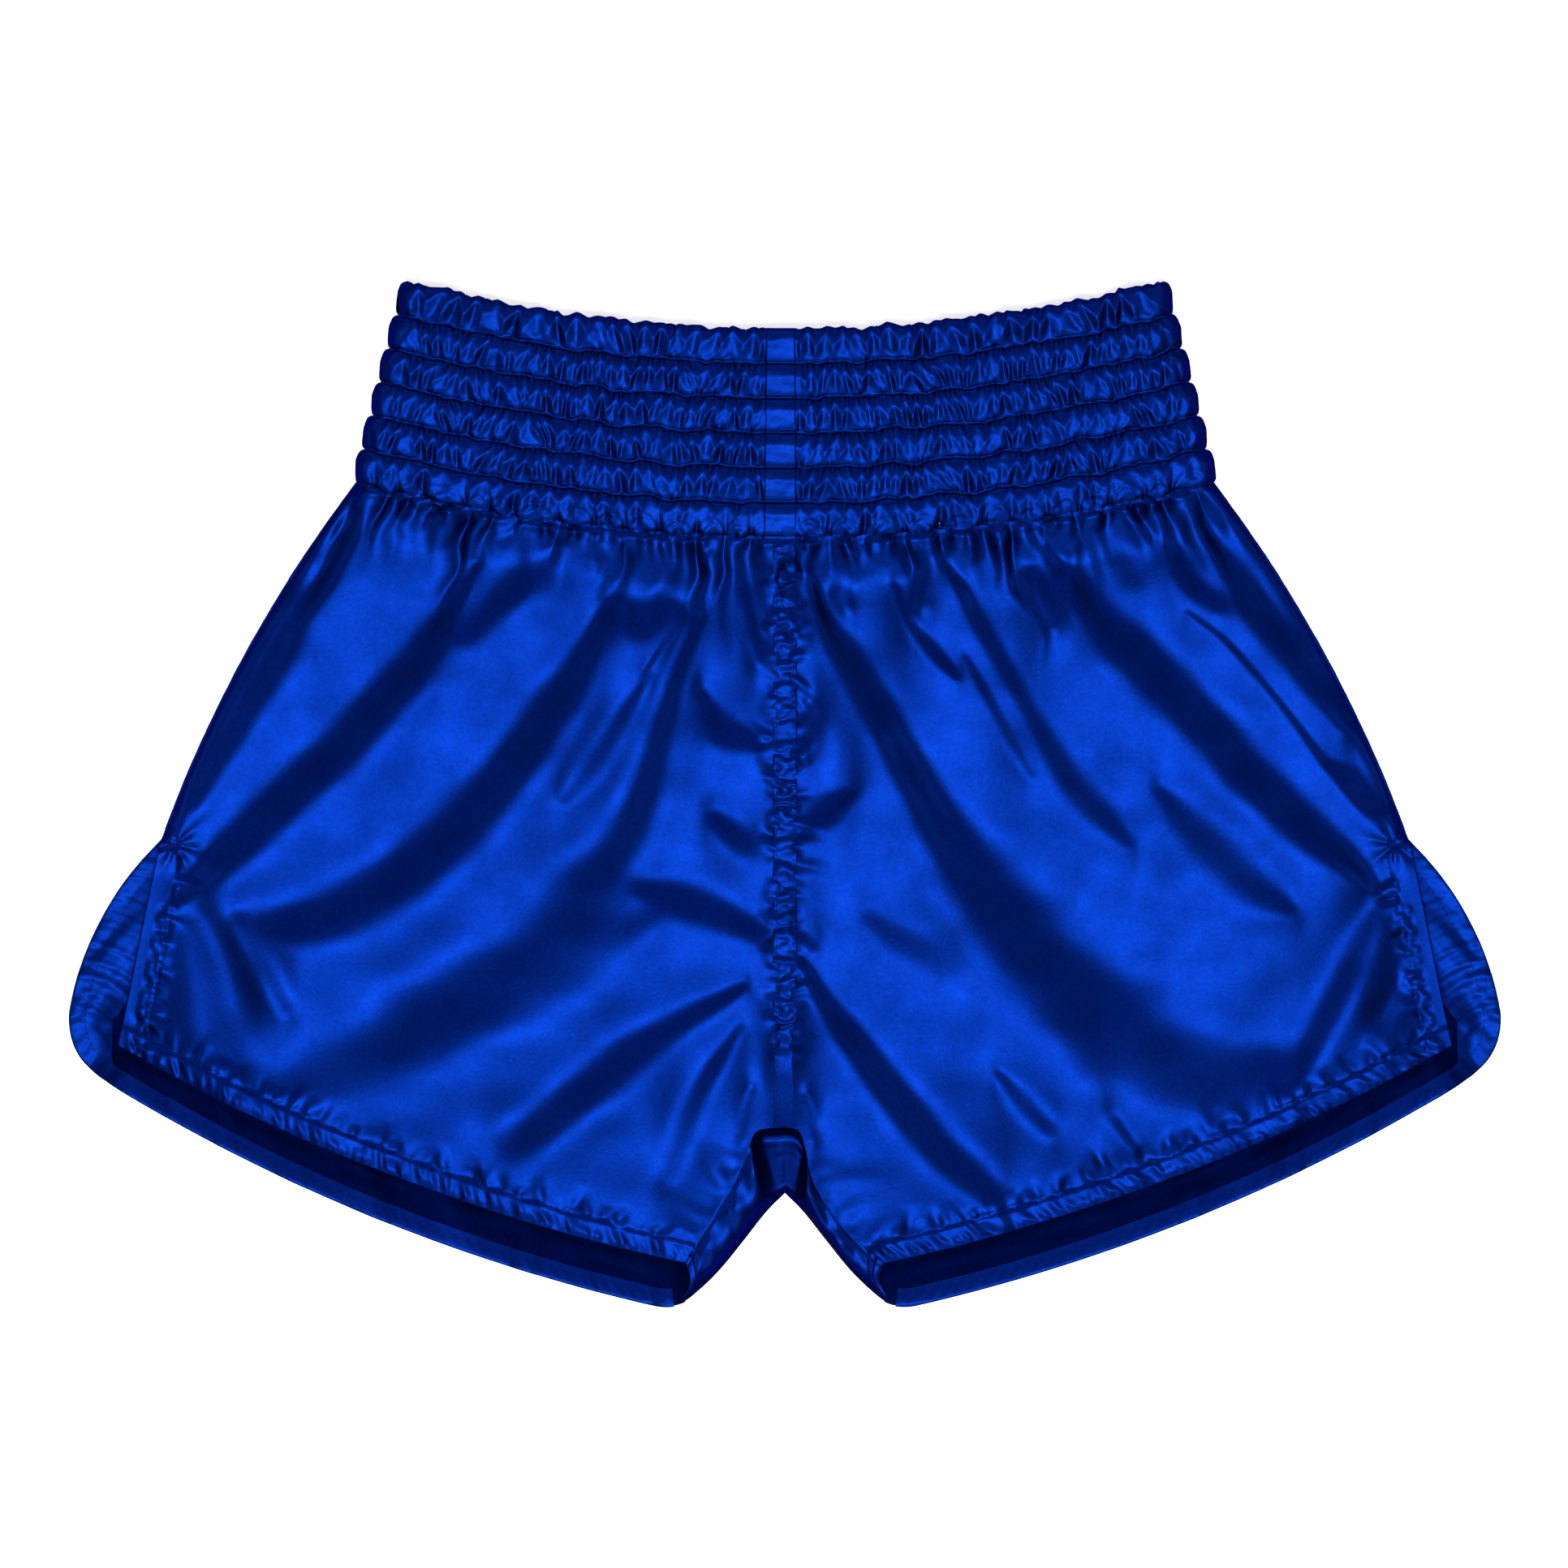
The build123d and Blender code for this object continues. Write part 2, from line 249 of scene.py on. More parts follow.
def gridMesh(name, points, material, flip=False):
    n, m = points.shape[:2]
    index = np.arange(n * m).reshape(n, m)
    quads = np.stack([index[:-1, :-1], index[:-1, 1:], index[1:, 1:], index[1:, :-1]], -1).reshape(-1, 4)
    if not flip:
        quads = quads[:, ::-1]
    mesh = bpy.data.meshes.new(name)
    mesh.vertices.add(n * m)
    mesh.vertices.foreach_set("co", (points.reshape(-1, 3) * mm).astype(np.float32).ravel())
    mesh.loops.add(quads.size)
    mesh.loops.foreach_set("vertex_index", quads.ravel().astype(np.int32))
    mesh.polygons.add(len(quads))
    mesh.polygons.foreach_set("loop_start", np.arange(0, quads.size, 4, dtype=np.int32))
    mesh.polygons.foreach_set("use_smooth", np.full(len(quads), True))
    across, down = np.broadcast_arrays(np.arange(n)[:, None] / n, np.arange(m)[None, :] / m)
    uv = np.stack([across, down], -1).reshape(-1, 2)
    mesh.uv_layers.new(name="cloth").data.foreach_set("uv", uv[quads.ravel()].astype(np.float32).ravel())
    mesh.update(calc_edges=True)
    mesh.materials.append(material)
    piece = bpy.data.objects.new(name, mesh)
    bpy.context.scene.collection.objects.link(piece)
    return piece


def withHeight(plan, z):
    return np.concatenate([plan, np.broadcast_to(z, plan.shape[:-1])[..., None]], -1)


def fasten(piece, *nodes):
    # a satin piece that stays with the body of the shorts and stands for these nodes
    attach(piece, "root")
    if nodes:
        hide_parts(*nodes)


# Materials

def hexColour(code):
    # sRGB hex to the linear colour that a shader takes
    parts = [int(code[k:k + 2], 16) / 255 for k in (1, 3, 5)]
    return [c / 12.92 if c <= 0.04045 else ((c + 0.055) / 1.055) ** 2.4 for c in parts] + [1.0]


def addNode(tree, kind, settings, links):
    # one node; settings and links go by the socket's name or number, or else by the node's property
    node = tree.nodes.new(kind)
    for key, value in settings.items():
        if isinstance(key, int) or key in node.inputs:
            node.inputs[key].default_value = value
        else:
            setattr(node, key, value)
    for key, source in links.items():
        tree.links.new(source, node.inputs[key])
    return node


def newMaterial(name):
    material = bpy.data.materials.new(name)
    material.use_nodes = True
    tree = material.node_tree
    return material, tree, tree.nodes["Principled BSDF"]


def noiseNode(tree, place, size, detail):
    # random clouds about a size in mm apart
    settings = {"Scale": 1 / (size * mm), "Detail": detail}
    return addNode(tree, "ShaderNodeTexNoise", settings, {"Vector": place}).outputs["Fac"]


def addDyeAndPaintedGlint(tree, shader, deep, bright, share):
    # the base colour between two shades, by a share from 0 to 1; on the satin the lighter shade is a
    # painted glint and the darker painted shade
    settings = {"data_type": "RGBA", 6: hexColour(deep), 7: hexColour(bright)}
    dyeAndPaintedGlint = addNode(tree, "ShaderNodeMix", settings, {0: share})
    tree.links.new(dyeAndPaintedGlint.outputs[2], shader.inputs["Base Color"])


def satinMaterial(name, look):
    material, tree, shader = newMaterial(name)
    place = addNode(tree, "ShaderNodeTexCoord", {}, {}).outputs["Object"]
    grainAndPaintedGlint = noiseNode(tree, place, look["grainAndPaintedGlint"], 2.0)
    handling = noiseNode(tree, place, look["handling"], 3.0)
    # painted glint and painted shade of single floats, mixed at random by the grain noise
    addDyeAndPaintedGlint(tree, shader, look["deep"], look["bright"], grainAndPaintedGlint)
    low, high = look["roughness"] - 0.03, look["roughness"] + 0.04
    rough = addNode(tree, "ShaderNodeMapRange", {1: 0.3, 2: 0.7, 3: low, 4: high}, {0: handling})
    soft = addNode(tree, "ShaderNodeBump", {"Strength": look["softBump"], "Distance": 0.6 * mm},
                   {"Height": handling})
    fine = addNode(tree, "ShaderNodeBump", {"Strength": look["grainBump"], "Distance": 0.12 * mm},
                   {"Height": grainAndPaintedGlint, "Normal": soft.outputs["Normal"]})
    tree.links.new(rough.outputs["Result"], shader.inputs["Roughness"])
    tree.links.new(fine.outputs["Normal"], shader.inputs["Normal"])
    shader.inputs["Metallic"].default_value = look["metallic"]
    shader.inputs["Specular Tint"].default_value = hexColour(look["edge"])
    return material


satinLook = {
    "deep": "#011150",  # painted shade: the colour of yarns turned from the light
    "bright": "#021C5F",  # painted glint: the colour of floats that catch the light, mixed in at random by the grain noise
    "metallic": 0.99,  # light comes back out of the dyed fibre coloured, as off metal
    "edge": "#0A1E58",  # what glances off stays a dark blue
    "roughness": 0.42,
    "grainAndPaintedGlint": 1.6,  # mm; real floats are about 0.3 mm, too fine to show
    "grainBump": 0.3,
    "handling": 16.0,  # mm between soft handling marks
    "softBump": 0.06,
}
# polyester satin: smooth floats of fibre, glossy along the folds and nearly black away from the light
satin = satinMaterial("royal blue polyester satin", satinLook)
# the satin's wrong side: short crossing yarns, so dull; its much darker colour is painted shade, for the
# insides of the legs and the waist
reverseLook = dict(satinLook, deep="#000428", bright="#000832", roughness=0.5)
reverse = satinMaterial("dull reverse of the satin darkened as painted shade", reverseLook)


def threadMaterial():
    # spun polyester sewing thread, dyed with the cloth: round, a little hairy and hardly shining
    material, tree, shader = newMaterial("spun polyester thread")
    place = addNode(tree, "ShaderNodeTexCoord", {}, {}).outputs["Object"]
    addDyeAndPaintedGlint(tree, shader, "#000A48", "#001466", noiseNode(tree, place, 0.5, 2.0))
    shader.inputs["Roughness"].default_value = 0.55
    shader.inputs["Specular IOR Level"].default_value = 0.04
    return material


def elasticMaterial():
    # woven elastic: white cotton warp over rubber cores, ribbed along its length
    material, tree, shader = newMaterial("woven white elastic")
    place = addNode(tree, "ShaderNodeTexCoord", {}, {}).outputs["Object"]
    settings = {"bands_direction": "Y", "Scale": 1 / (3.0 * mm), "Distortion": 1.0}
    ribs = addNode(tree, "ShaderNodeTexWave", settings, {"Vector": place}).outputs["Fac"]
    addDyeAndPaintedGlint(tree, shader, "#B9B7AE", "#E4E2DA", ribs)
    bump = addNode(tree, "ShaderNodeBump", {"Strength": 0.5, "Distance": 0.3 * mm}, {"Height": ribs})
    tree.links.new(bump.outputs["Normal"], shader.inputs["Normal"])
    shader.inputs["Roughness"].default_value = 0.8
    return material


thread = threadMaterial()
elastic = elasticMaterial()

# Floor, light and camera

print("floor, light and camera")
studio = {
    "paper": "#F6F6F6",
    "glow": 0.42,  # the paper lies on a lit table, so shadows stay pale
    "floorSize": 8,
    "floorZ": -0.0006,
    "air": (0.88, 0.82, 1, 1),
    "airStrength": 0.12,
    "lens": 155,
    "sensor": 36,
    "eye": (-0.0004, 0.0038, 3.0),
}
paper, _, paperShader = newMaterial("white studio paper")
paperShader.inputs["Base Color"].default_value = hexColour(studio["paper"])
paperShader.inputs["Roughness"].default_value = 0.9
paperShader.inputs["Emission Color"].default_value = (1, 1, 1, 1)
paperShader.inputs["Emission Strength"].default_value = studio["glow"]
bpy.ops.mesh.primitive_plane_add(size=studio["floorSize"], location=(0, 0, studio["floorZ"]))
floor = bpy.context.object
floor.name = "floor"
floor.data.materials.append(paper)

world = bpy.data.worlds.new("studio")
bpy.context.scene.world = world
world.use_nodes = True
world.node_tree.nodes["Background"].inputs["Color"].default_value = studio["air"]
world.node_tree.nodes["Background"].inputs["Strength"].default_value = studio["airStrength"]

lights = {  # soft boxes: metres, and watts
    "key": {"place": (0, -0.45, 2.25), "size": (1.4, 0.4), "power": 66},
    "fill": {"place": (0, 1.6, 2.4), "size": (2.4, 1.0), "power": 12, "tint": (0.72, 0.62, 1.0)},
    "hem side": {"place": (0, -1.7, 1.25), "size": (1.8, 0.5), "power": 16},
    "waist side": {"place": (0, 3.0, 1.5), "size": (3.0, 0.8), "power": 30},
    "left side": {"place": (1.7, 0.4, 1.3), "size": (1.0, 0.6), "power": 8},
    "right side": {"place": (-1.7, 0.4, 1.3), "size": (1.0, 0.6), "power": 8},
}
for name, spec in lights.items():
    lamp = bpy.data.lights.new(name, "AREA")
    lamp.shape = "RECTANGLE"
    lamp.size, lamp.size_y = spec["size"]
    lamp.energy = spec["power"]
    lamp.color = spec.get("tint", (1, 1, 1))
    softBox = bpy.data.objects.new(name, lamp)
    softBox.location = spec["place"]
    softBox.rotation_euler = (-Vector(spec["place"])).to_track_quat("-Z", "Y").to_euler()
    bpy.context.scene.collection.objects.link(softBox)

camera = bpy.data.cameras.new("camera")
camera.sensor_width = studio["sensor"]
camera.lens = studio["lens"]
eye = bpy.data.objects.new("camera", camera)
eye.location = studio["eye"]
bpy.context.scene.collection.objects.link(eye)
bpy.context.scene.camera = eye
bpy.context.scene.view_settings.view_transform = "Standard"

# Folds of the front, as flanks that face the light or turn from it

# Each flank is (slope, [(x, y, half width)]), and a later one lies over an earlier one.
# A slope is the cloth's rise towards the waist: above zero it faces the hem, below zero the waist.
flatSlope = 0.30  # between the folds the cloth leans a little to the hem
frontFlanks = [
    # the wearer's right leg
    (0.02, [(-60, -55, 5), (-95, -72, 14), (-130, -92, 16), (-165, -108, 17), (-200, -124, 14),
            (-222, -132, 10)]),
    (-0.04, [(-218, 92, 5), (-216, 76, 6), (-226, 58, 7), (-240, 34, 6), (-252, 12, 5),
             (-262, -6, 3)]),
    (-0.17, [(-181, 128, 4), (-192, 111, 4), (-202, 95, 4), (-213, 80, 3)]),
    (-0.08, [(-106, 106, 6), (-114, 95, 7), (-126, 84, 6), (-141, 70, 5)]),
    (-0.26, [(-137, 100, 2), (-146, 84, 4), (-158, 64, 7), (-172, 46, 8), (-187, 30, 8), (-203, 14, 8),
             (-218, 0, 8), (-232, -14, 8), (-248, -28, 8), (-263, -42, 6)]),
    (-0.26, [(-78, 84, 2), (-85, 66, 5), (-95, 48, 8), (-108, 30, 9), (-121, 12, 9), (-134, -4, 10),
             (-148, -18, 11), (-165, -34, 11), (-185, -48, 10), (-206, -56, 9), (-228, -60, 7)]),
    (-0.15, [(-39, 76, 3), (-46, 56, 4), (-52, 36, 5), (-58, 14, 6), (-65, -8, 8), (-75, -28, 10),
             (-90, -50, 14)]),
    (-0.15, [(-90, -50, 14), (-112, -76, 17), (-142, -95, 13), (-172, -110, 14), (-200, -122, 12)]),
    (-0.01, [(-60, 52, 2), (-74, 30, 4), (-86, 10, 5), (-97, -3, 3)]),
    (-0.09, [(-44, 78, 1.2), (-54, 65, 1.5), (-63, 52, 1.0)]),
    (-0.19, [(-74, 82, 5), (-63, 75, 8), (-50, 81, 5)]),
    (-0.19, [(-66, -42, 4), (-45, -49, 7), (-27, -55, 6), (-12, -62, 4)]),
    (-0.22, [(-18, -86, 2), (-45, -101, 5), (-70, -118, 8), (-95, -137, 9), (-121, -158, 9)]),
    (-0.08, [(-20, -104, 2), (-34, -126, 4), (-44, -146, 6), (-50, -168, 5)]),
    (-0.25, [(-262, -58, 5), (-256, -80, 9), (-250, -102, 11), (-244, -122, 9)]),
    (-0.08, [(-241, -56, 4), (-231, -75, 5), (-221, -95, 4)]),
    (-0.21, [(-17, 100, 2), (-15, 80, 3), (-11, 60, 3)]),
    (-0.15, [(-37, 44, 2), (-29, 28, 6), (-14, 23, 4)]),
    (-0.18, [(-31, -12, 4), (-19, -22, 6)]),
    # the wearer's left leg
    (-0.26, [(12, 96, 1.5), (15, 82, 3), (21, 70, 5), (29, 57, 6), (38, 42, 7), (47, 26, 7),
             (56, 9, 7), (66, -9, 8), (77, -27, 11), (91, -47, 15), (107, -67, 17), (124, -86, 17),
             (143, -104, 16)]),
    (-0.14, [(143, -104, 16), (165, -118, 17), (190, -126, 17), (212, -122, 13)]),
    (-0.26, [(115, 116, 2.5), (122, 99, 5), (132, 85, 7), (146, 70, 9), (161, 55, 9), (176, 41, 9),
             (191, 24, 9), (206, 7, 9), (221, -8, 8), (236, -20, 7), (250, -31, 5), (263, -44, 3)]),
    (-0.03, [(76, 94, 2), (85, 77, 3.5), (95, 60, 4), (105, 42, 4), (115, 23, 5), (126, 5, 6),
             (139, -9, 6), (152, -22, 3)]),
    (-0.03, [(166, 0, 3), (178, -14, 8), (196, -31, 9), (214, -46, 7), (224, -52, 3)]),
    (0.02, [(80, 60, 1.5), (90, 42, 2.5), (100, 24, 3), (109, 8, 2)]),
    (-0.19, [(70, 113, 3), (72, 100, 2), (79, 90, 2)]),
    (-0.15, [(49, 92, 2), (55, 76, 2.5), (65, 63, 3), (76, 52, 2)]),
    (-0.17, [(60, 101, 5), (61, 86, 5)]),
    (-0.17, [(110, 98, 4), (117, 84, 5), (118, 75, 3)]),
    (-0.04, [(25, 98, 3), (28, 84, 3)]),
    (-0.01, [(145, 108, 6), (152, 94, 6)]),
    (-0.17, [(166, 124, 3), (170, 108, 4), (179, 93, 5), (192, 84, 4)]),
    (-0.22, [(180, 131, 4), (190, 112, 4), (200, 95, 5), (209, 81, 6), (219, 69, 6), (229, 57, 6),
             (239, 44, 5), (248, 30, 3)]),
    (-0.01, [(178, 80, 1), (195, 67, 1.5), (212, 48, 1.5), (228, 28, 1.5), (244, 6, 1.5),
             (258, -10, 1)]),
    (-0.15, [(240, 13, 2), (252, 5, 5), (262, -8, 4)]),
    (-0.19, [(263, -50, 4), (255, -68, 7), (247, -86, 7), (238, -103, 6), (230, -118, 6),
             (221, -130, 5)]),
    (-0.04, [(272, -90, 3), (264, -106, 4)]),
    (-0.24, [(7, -72, 2), (14, -87, 3), (25, -103, 5), (38, -120, 6), (50, -136, 7), (63, -151, 8),
             (77, -166, 8), (92, -177, 6)]),
    (-0.09, [(94, -124, 2), (105, -137, 5), (117, -149, 4)]),
    (-0.08, [(145, -144, 3), (154, -156, 2)]),
    (-0.19, [(11, 38, 2), (12, 28, 4), (8, 19, 2)]),
    (-0.15, [(8, -18, 3), (19, -9, 6), (29, -1, 3)]),
    (-0.15, [(4, -60, 3), (12, -68, 3)]),
    (0.06, [(38, -56, 4), (52, -66, 7), (72, -77, 6)]),
    # down the seam to the crotch
    (-0.4, [(-1, -114, 3), (-1, -126, 3.6), (-1, -140, 4), (-1, -152, 4)]),
    (-0.10, [(-15, -132, 1.5), (-17, -143, 2.5), (-18, -152, 2.5)]),
    (-0.10, [(9, -134, 1.2), (11, -143, 2.2), (12, -152, 2)]),
]
field = {"low": np.array([-340.0, -250.0]), "size": (1361, 841), "step": 0.5}  # a height every 0.5 mm


def fieldPart(low, high):
    # the corner of the field round some points, and the plan of its samples
    a = np.clip(((low - field["low"]) / field["step"]).astype(int), 0, np.array(field["size"]) - 2)
    b = np.clip(((high - field["low"]) / field["step"]).astype(int) + 2, 1, field["size"])
    x = field["low"][0] + field["step"] * np.arange(a[0], b[0])[:, None]
    y = field["low"][1] + field["step"] * np.arange(a[1], b[1])[None, :]
    return np.s_[a[0]:b[0], a[1]:b[1]], np.stack(np.broadcast_arrays(x, y), -1)


def foldHeights(flanks):
    slope = np.full(field["size"], flatSlope)
    for wanted, points in flanks:
        line = smoothLine(points, 20)
        reach = 2.2 * line[:, 2].max()
        part, plan = fieldPart(line.min(0)[:2] - reach, line.max(0)[:2] + reach)
        gap, along = lineDistance(line[:, :2], plan, 20)
        halfWidth = np.interp(along, np.linspace(0, along.max(), 20), line[:, 2])
        slope[part] += (wanted - slope[part]) * np.exp(-0.6 * (gap / halfWidth) ** 2.2)
    # heights whose rise along Y comes nearest to the wanted slope, with no steps across it
    kx = 2 * np.pi * np.fft.fftfreq(field["size"][0], field["step"])[:, None]
    ky = 2 * np.pi * np.fft.fftfreq(field["size"][1], field["step"])[None, :]
    weight = ky**2 + 0.12 * kx**2 + (2 * np.pi / 260) ** 2
    return np.fft.ifft2(-1j * ky * np.fft.fft2(slope) / weight).real


def readField(values, points):
    x = np.clip((points[..., 0] - field["low"][0]) / field["step"], 0, field["size"][0] - 1.001)
    y = np.clip((points[..., 1] - field["low"][1]) / field["step"], 0, field["size"][1] - 1.001)
    i, j = x.astype(int), y.astype(int)
    u, v = x - i, y - j
    near = (1 - v) * values[i, j] + v * values[i, j + 1]
    far = (1 - v) * values[i + 1, j] + v * values[i + 1, j + 1]
    return (1 - u) * near + u * far


def addCrease(values, start, heading, length, width, height):
    # a small ridge that swells soon after its start and dies away along its heading
    middle = start + heading * length / 2
    reach = length / 2 + 3 * width
    part, plan = fieldPart(middle - reach, middle + reach)
    along = ((plan - start) @ heading) / length
    across = (plan - start) @ np.array([-heading[1], heading[0]]) + 0.12 * length * along**2
    swell = np.sin(np.pi * np.clip(along, 0, 1) ** 0.55) ** 1.3
    spread = width * (0.7 + 0.5 * np.clip(along, 0, 1))
    values[part] += height * swell * np.exp(-0.5 * (across / spread) ** 2)


def creasesAlong(values, seed, line, toward, spec):
    # creases that start on a seam line at uneven gaps and run to one side of it
    rng = np.random.default_rng(seed)
    line = resample(line, 400)
    step = np.linalg.norm(line[1] - line[0])
    inward = inwardOf(line, toward)
    at = spec["from"]
    while at < step * 398 - spec["to"]:
        k = int(at / step)
        turn = math.radians(spec["lean"] + spec["scatter"] * rng.uniform(-1, 1))
        n = inward[k]
        c, s = math.cos(turn), math.sin(turn)
        heading = np.array([n[0] * c - n[1] * s, n[0] * s + n[1] * c])
        length = spec["length"] * rng.uniform(0.5, 1.3) * (1.8 if rng.random() < 0.15 else 1.0)
        width = spec["width"] * rng.uniform(0.8, 1.3)
        height = spec["height"] * rng.uniform(0.5, 1.3) * (-1 if rng.random() < spec["dents"] else 1)
        addCrease(values, line[k] + n * spec["gap"], heading, length, width, height)
        at += spec["pitch"] * rng.uniform(0.6, 1.4)


print("folds of the front")
folds = foldHeights(frontFlanks)
print("  heights", folds.min().round(1), "to", folds.max().round(1))

# Small shapes of the front: gathers under the waistband, puckers along the seams, the hem and the slit

gather = {"pitch": 15.0, "spread": 0.35, "fanY": 548.0, "height": 5.0, "short": 10.0, "long": 42.0}
hemWidth, slitWidth = 10.0, 12.0
# creases along a seam, in mm; lean and scatter in degrees; dents is the share of them that go down
puckerKeys = ("pitch", "from", "to", "gap", "length", "width", "height", "lean", "scatter", "dents")
puckers = {
    "centre": (4.6, 4, 30, 2.0, 9.5, 1.5, 0.95, 0, 50, 0.4),
    "hemBand": (4.2, 0, 0, 0.3, 12, 1.25, 0.85, 42, 14, 0.1),
    "hemAbove": (6.5, 10, 0, 9.0, 11, 1.9, 0.8, 10, 30, 0.4),
    "slitInner": (4.2, 16, 0, 9.0, 9, 1.4, 0.9, 0, 40, 0.3),
    "slitOuter": (4.2, 30, 0, 5.0, 4, 1.1, 0.6, 0, 20, 0.2),
    "waist": (6.5, 0, 0, 1.0, 15, 2.2, 1.5, 0, 30, 0.35),
    "crotch": (8.0, 0, 0, 0.5, 20, 2.6, 0.6, 0, 25, 0.4),
}
small = np.zeros(field["size"])
for side in (1, -1):
    runs = {
        "centre": (np.array([(0, 116), (0, -148)], float), (100, 0)),
        "hemBand": (frontHemLine, insideLeg),
        "hemAbove": (frontHemLine, insideLeg),
        "slitInner": (frontSlitLine, insideLeg),
        "slitOuter": (frontSlitLine, insideLeg),
        "waist": (waistLine[:38], (0, 0)),
        "crotch": (archLine[side][15:], insideLeg),
    }
    for seed, (kind, (line, toward)) in enumerate(runs.items(), 1):
        spec = dict(zip(puckerKeys, puckers[kind]))
        creasesAlong(small, 10 * seed + side, mirrored(line, side), np.array(toward) * [side, 1], spec)
gatherAt, gatherRng = unevenIndex(11, -225, 225, gather["pitch"], gather["spread"])
gatherHeight = gatherRng.uniform(0.25, 1.0, len(gatherAt)) * gather["height"]
gatherReach = gatherRng.uniform(gather["short"], gather["long"], len(gatherAt))


def gathers(points, below):
    # pleats that the waist seam draws in, fanning out and dying away down the body
    top = cut["coneY"] - cut["seamRadius"]
    across = points[..., 0] * (gather["fanY"] - top) / (gather["fanY"] - points[..., 1])
    across = across + 2.0 * waveNoise(12, points[..., 0], points[..., 1], 38) * smoothStep(0, 20, below)
    index = np.interp(across, gatherAt, np.arange(len(gatherAt)))
    height, reach = np.interp(across, gatherAt, gatherHeight), np.interp(across, gatherAt, gatherReach)
    pleat = np.abs(np.sin(np.pi * index)) ** (0.8 + 0.8 * smoothStep(3, 20, below)) - 0.55
    bulge = 1.6 * (np.abs(np.sin(np.pi * index)) - 0.3) * np.exp(-((below - 3.0) / 2.2) ** 2)
    return height * pleat * smoothStep(-1, 9, below) * np.exp(-(below / reach) ** 2) + bulge


def ripple(seed, along, pitch):
    # uneven ripples along a line, rounded on top and pinched between
    at, rng = unevenIndex(seed, -20, 420, pitch, 0.45)
    index = np.interp(along, at, np.arange(len(at)))
    strength = np.interp(along, at, rng.uniform(0.3, 1.0, len(at)))
    return strength * (np.abs(np.cos(np.pi * index)) ** 0.8 - 0.6)


frontShape = {  # mm
    "hemFall": 4.0, "hemFallWidth": 75,  # the cloth sinks to the hem,
    "slitFall": 2.0, "slitFallWidth": 40,  # to the slit
    "inseamFall": 1.5, "inseamFallWidth": 50,  # and to the gusset
    "trough": 1.8, "troughWidth": 7.0,  # along the seam above the crotch
    "wave": 0.45, "waveSize": 60,
    "hemRise": 0.8, "slitRise": 0.7, "step": 0.8,  # the turned-in layers and how gently they end
    "rowDent": 0.9, "rowWidth": 0.9,
    "tack": (270.0, -23.0), "tackRise": 1.6, "tackReach": 11.0,
    "sideRadius": 7.0,
}


def frontHeight(points):
    shape = frontShape
    side = np.where(points[..., 0] < 0, -1.0, 1.0)
    q = np.stack([np.abs(points[..., 0]), points[..., 1]], -1)
    x, y = points[..., 0], points[..., 1]
    below = np.hypot(x, cut["coneY"] - y) - cut["seamRadius"]
    hem, _ = lineDistance(frontHemLine, q)
    slit, slitAlong = lineDistance(frontSlitLine, q)
    edge, _ = lineDistance(sideLine, q)
    inseam = np.where(x < 0, lineDistance(archLine[-1], q)[0], lineDistance(archLine[1], q)[0])
    z = level["waistMiddle"] + level["stitchRow"] - 0.2
    z = z + (level["front"] - z) * smoothStep(0, 30, below)
    z = z - shape["hemFall"] * (1 - smoothStep(0, shape["hemFallWidth"], hem))
    z = z - shape["slitFall"] * (1 - smoothStep(0, shape["slitFallWidth"], slit))
    nearGusset = (1 - smoothStep(0, shape["inseamFallWidth"], inseam)) * smoothStep(-100, -185, y)
    z = z - shape["inseamFall"] * nearGusset
    z = z - shape["trough"] * np.exp(-(x / shape["troughWidth"]) ** 2) * smoothStep(-108, -126, y)
    z = z + readField(folds, points) * smoothStep(2, 24, below)
    z = z + gathers(points, below)
    z = z + shape["wave"] * waveNoise(3, x, y, shape["waveSize"]) * smoothStep(4, 30, below)
    z = z + readField(small, points) * smoothStep(0, 3, below)
    # hem and slit: bands of two more layers under a row of stitches, which dents them
    step, dent, rowWidth = shape["step"], shape["rowDent"], shape["rowWidth"]
    z = z + shape["hemRise"] * (1 - smoothStep(hemWidth - step, hemWidth + step, hem))
    z = z - dent * np.exp(-((hem - hemWidth + 0.8) / rowWidth) ** 2)
    inSlit = smoothStep(0, 6, slitAlong)
    z = z + inSlit * shape["slitRise"] * (1 - smoothStep(slitWidth - step, slitWidth + step, slit))
    z = z - inSlit * dent * np.exp(-((slit - slitWidth + 1) / rowWidth) ** 2)
    # the bar tack pulls a star of creases
    dx, dy = q[..., 0] - shape["tack"][0], q[..., 1] - shape["tack"][1]
    away = np.hypot(dx, dy)
    star = np.abs(np.cos(3.5 * np.arctan2(dy, dx) + 0.8 * side))
    z = z + shape["tackRise"] * star * np.exp(-(away / shape["tackReach"]) ** 2) * smoothStep(0.5, 4, away)
    # the side turns down to meet the back, from the waist to the slit
    roll = np.sqrt(np.clip(1 - (1 - np.clip(edge / shape["sideRadius"], 0, 1)) ** 2, 0, 1))
    rolled = level["side"] + (z - level["side"]) * roll
    aboveSlit = smoothStep(-24, -19, y)
    return z + (rolled - z) * aboveSlit * (edge < shape["sideRadius"])


backShape = {  # mm
    "wave": 1.3, "waveSize": 42,
    "gathered": 0.9,
    "sideRadius": 10.0,
    "curl": 0.25, "curlWidth": 34,  # how steeply the free edge rises, and over how far
    "ridge": 0.3, "ridgeSize": 9,  # along the hem
    "streak": 0.75, "streakSize": 19,  # beside the slit
    "pucker": 0.35, "puckerPitch": 5.5,  # in the facing
    "hemFacing": 7.5, "slitFacing": 24.0,
    "facingEnd": 298.5,  # the slit's facing reaches in to this far from the middle
}


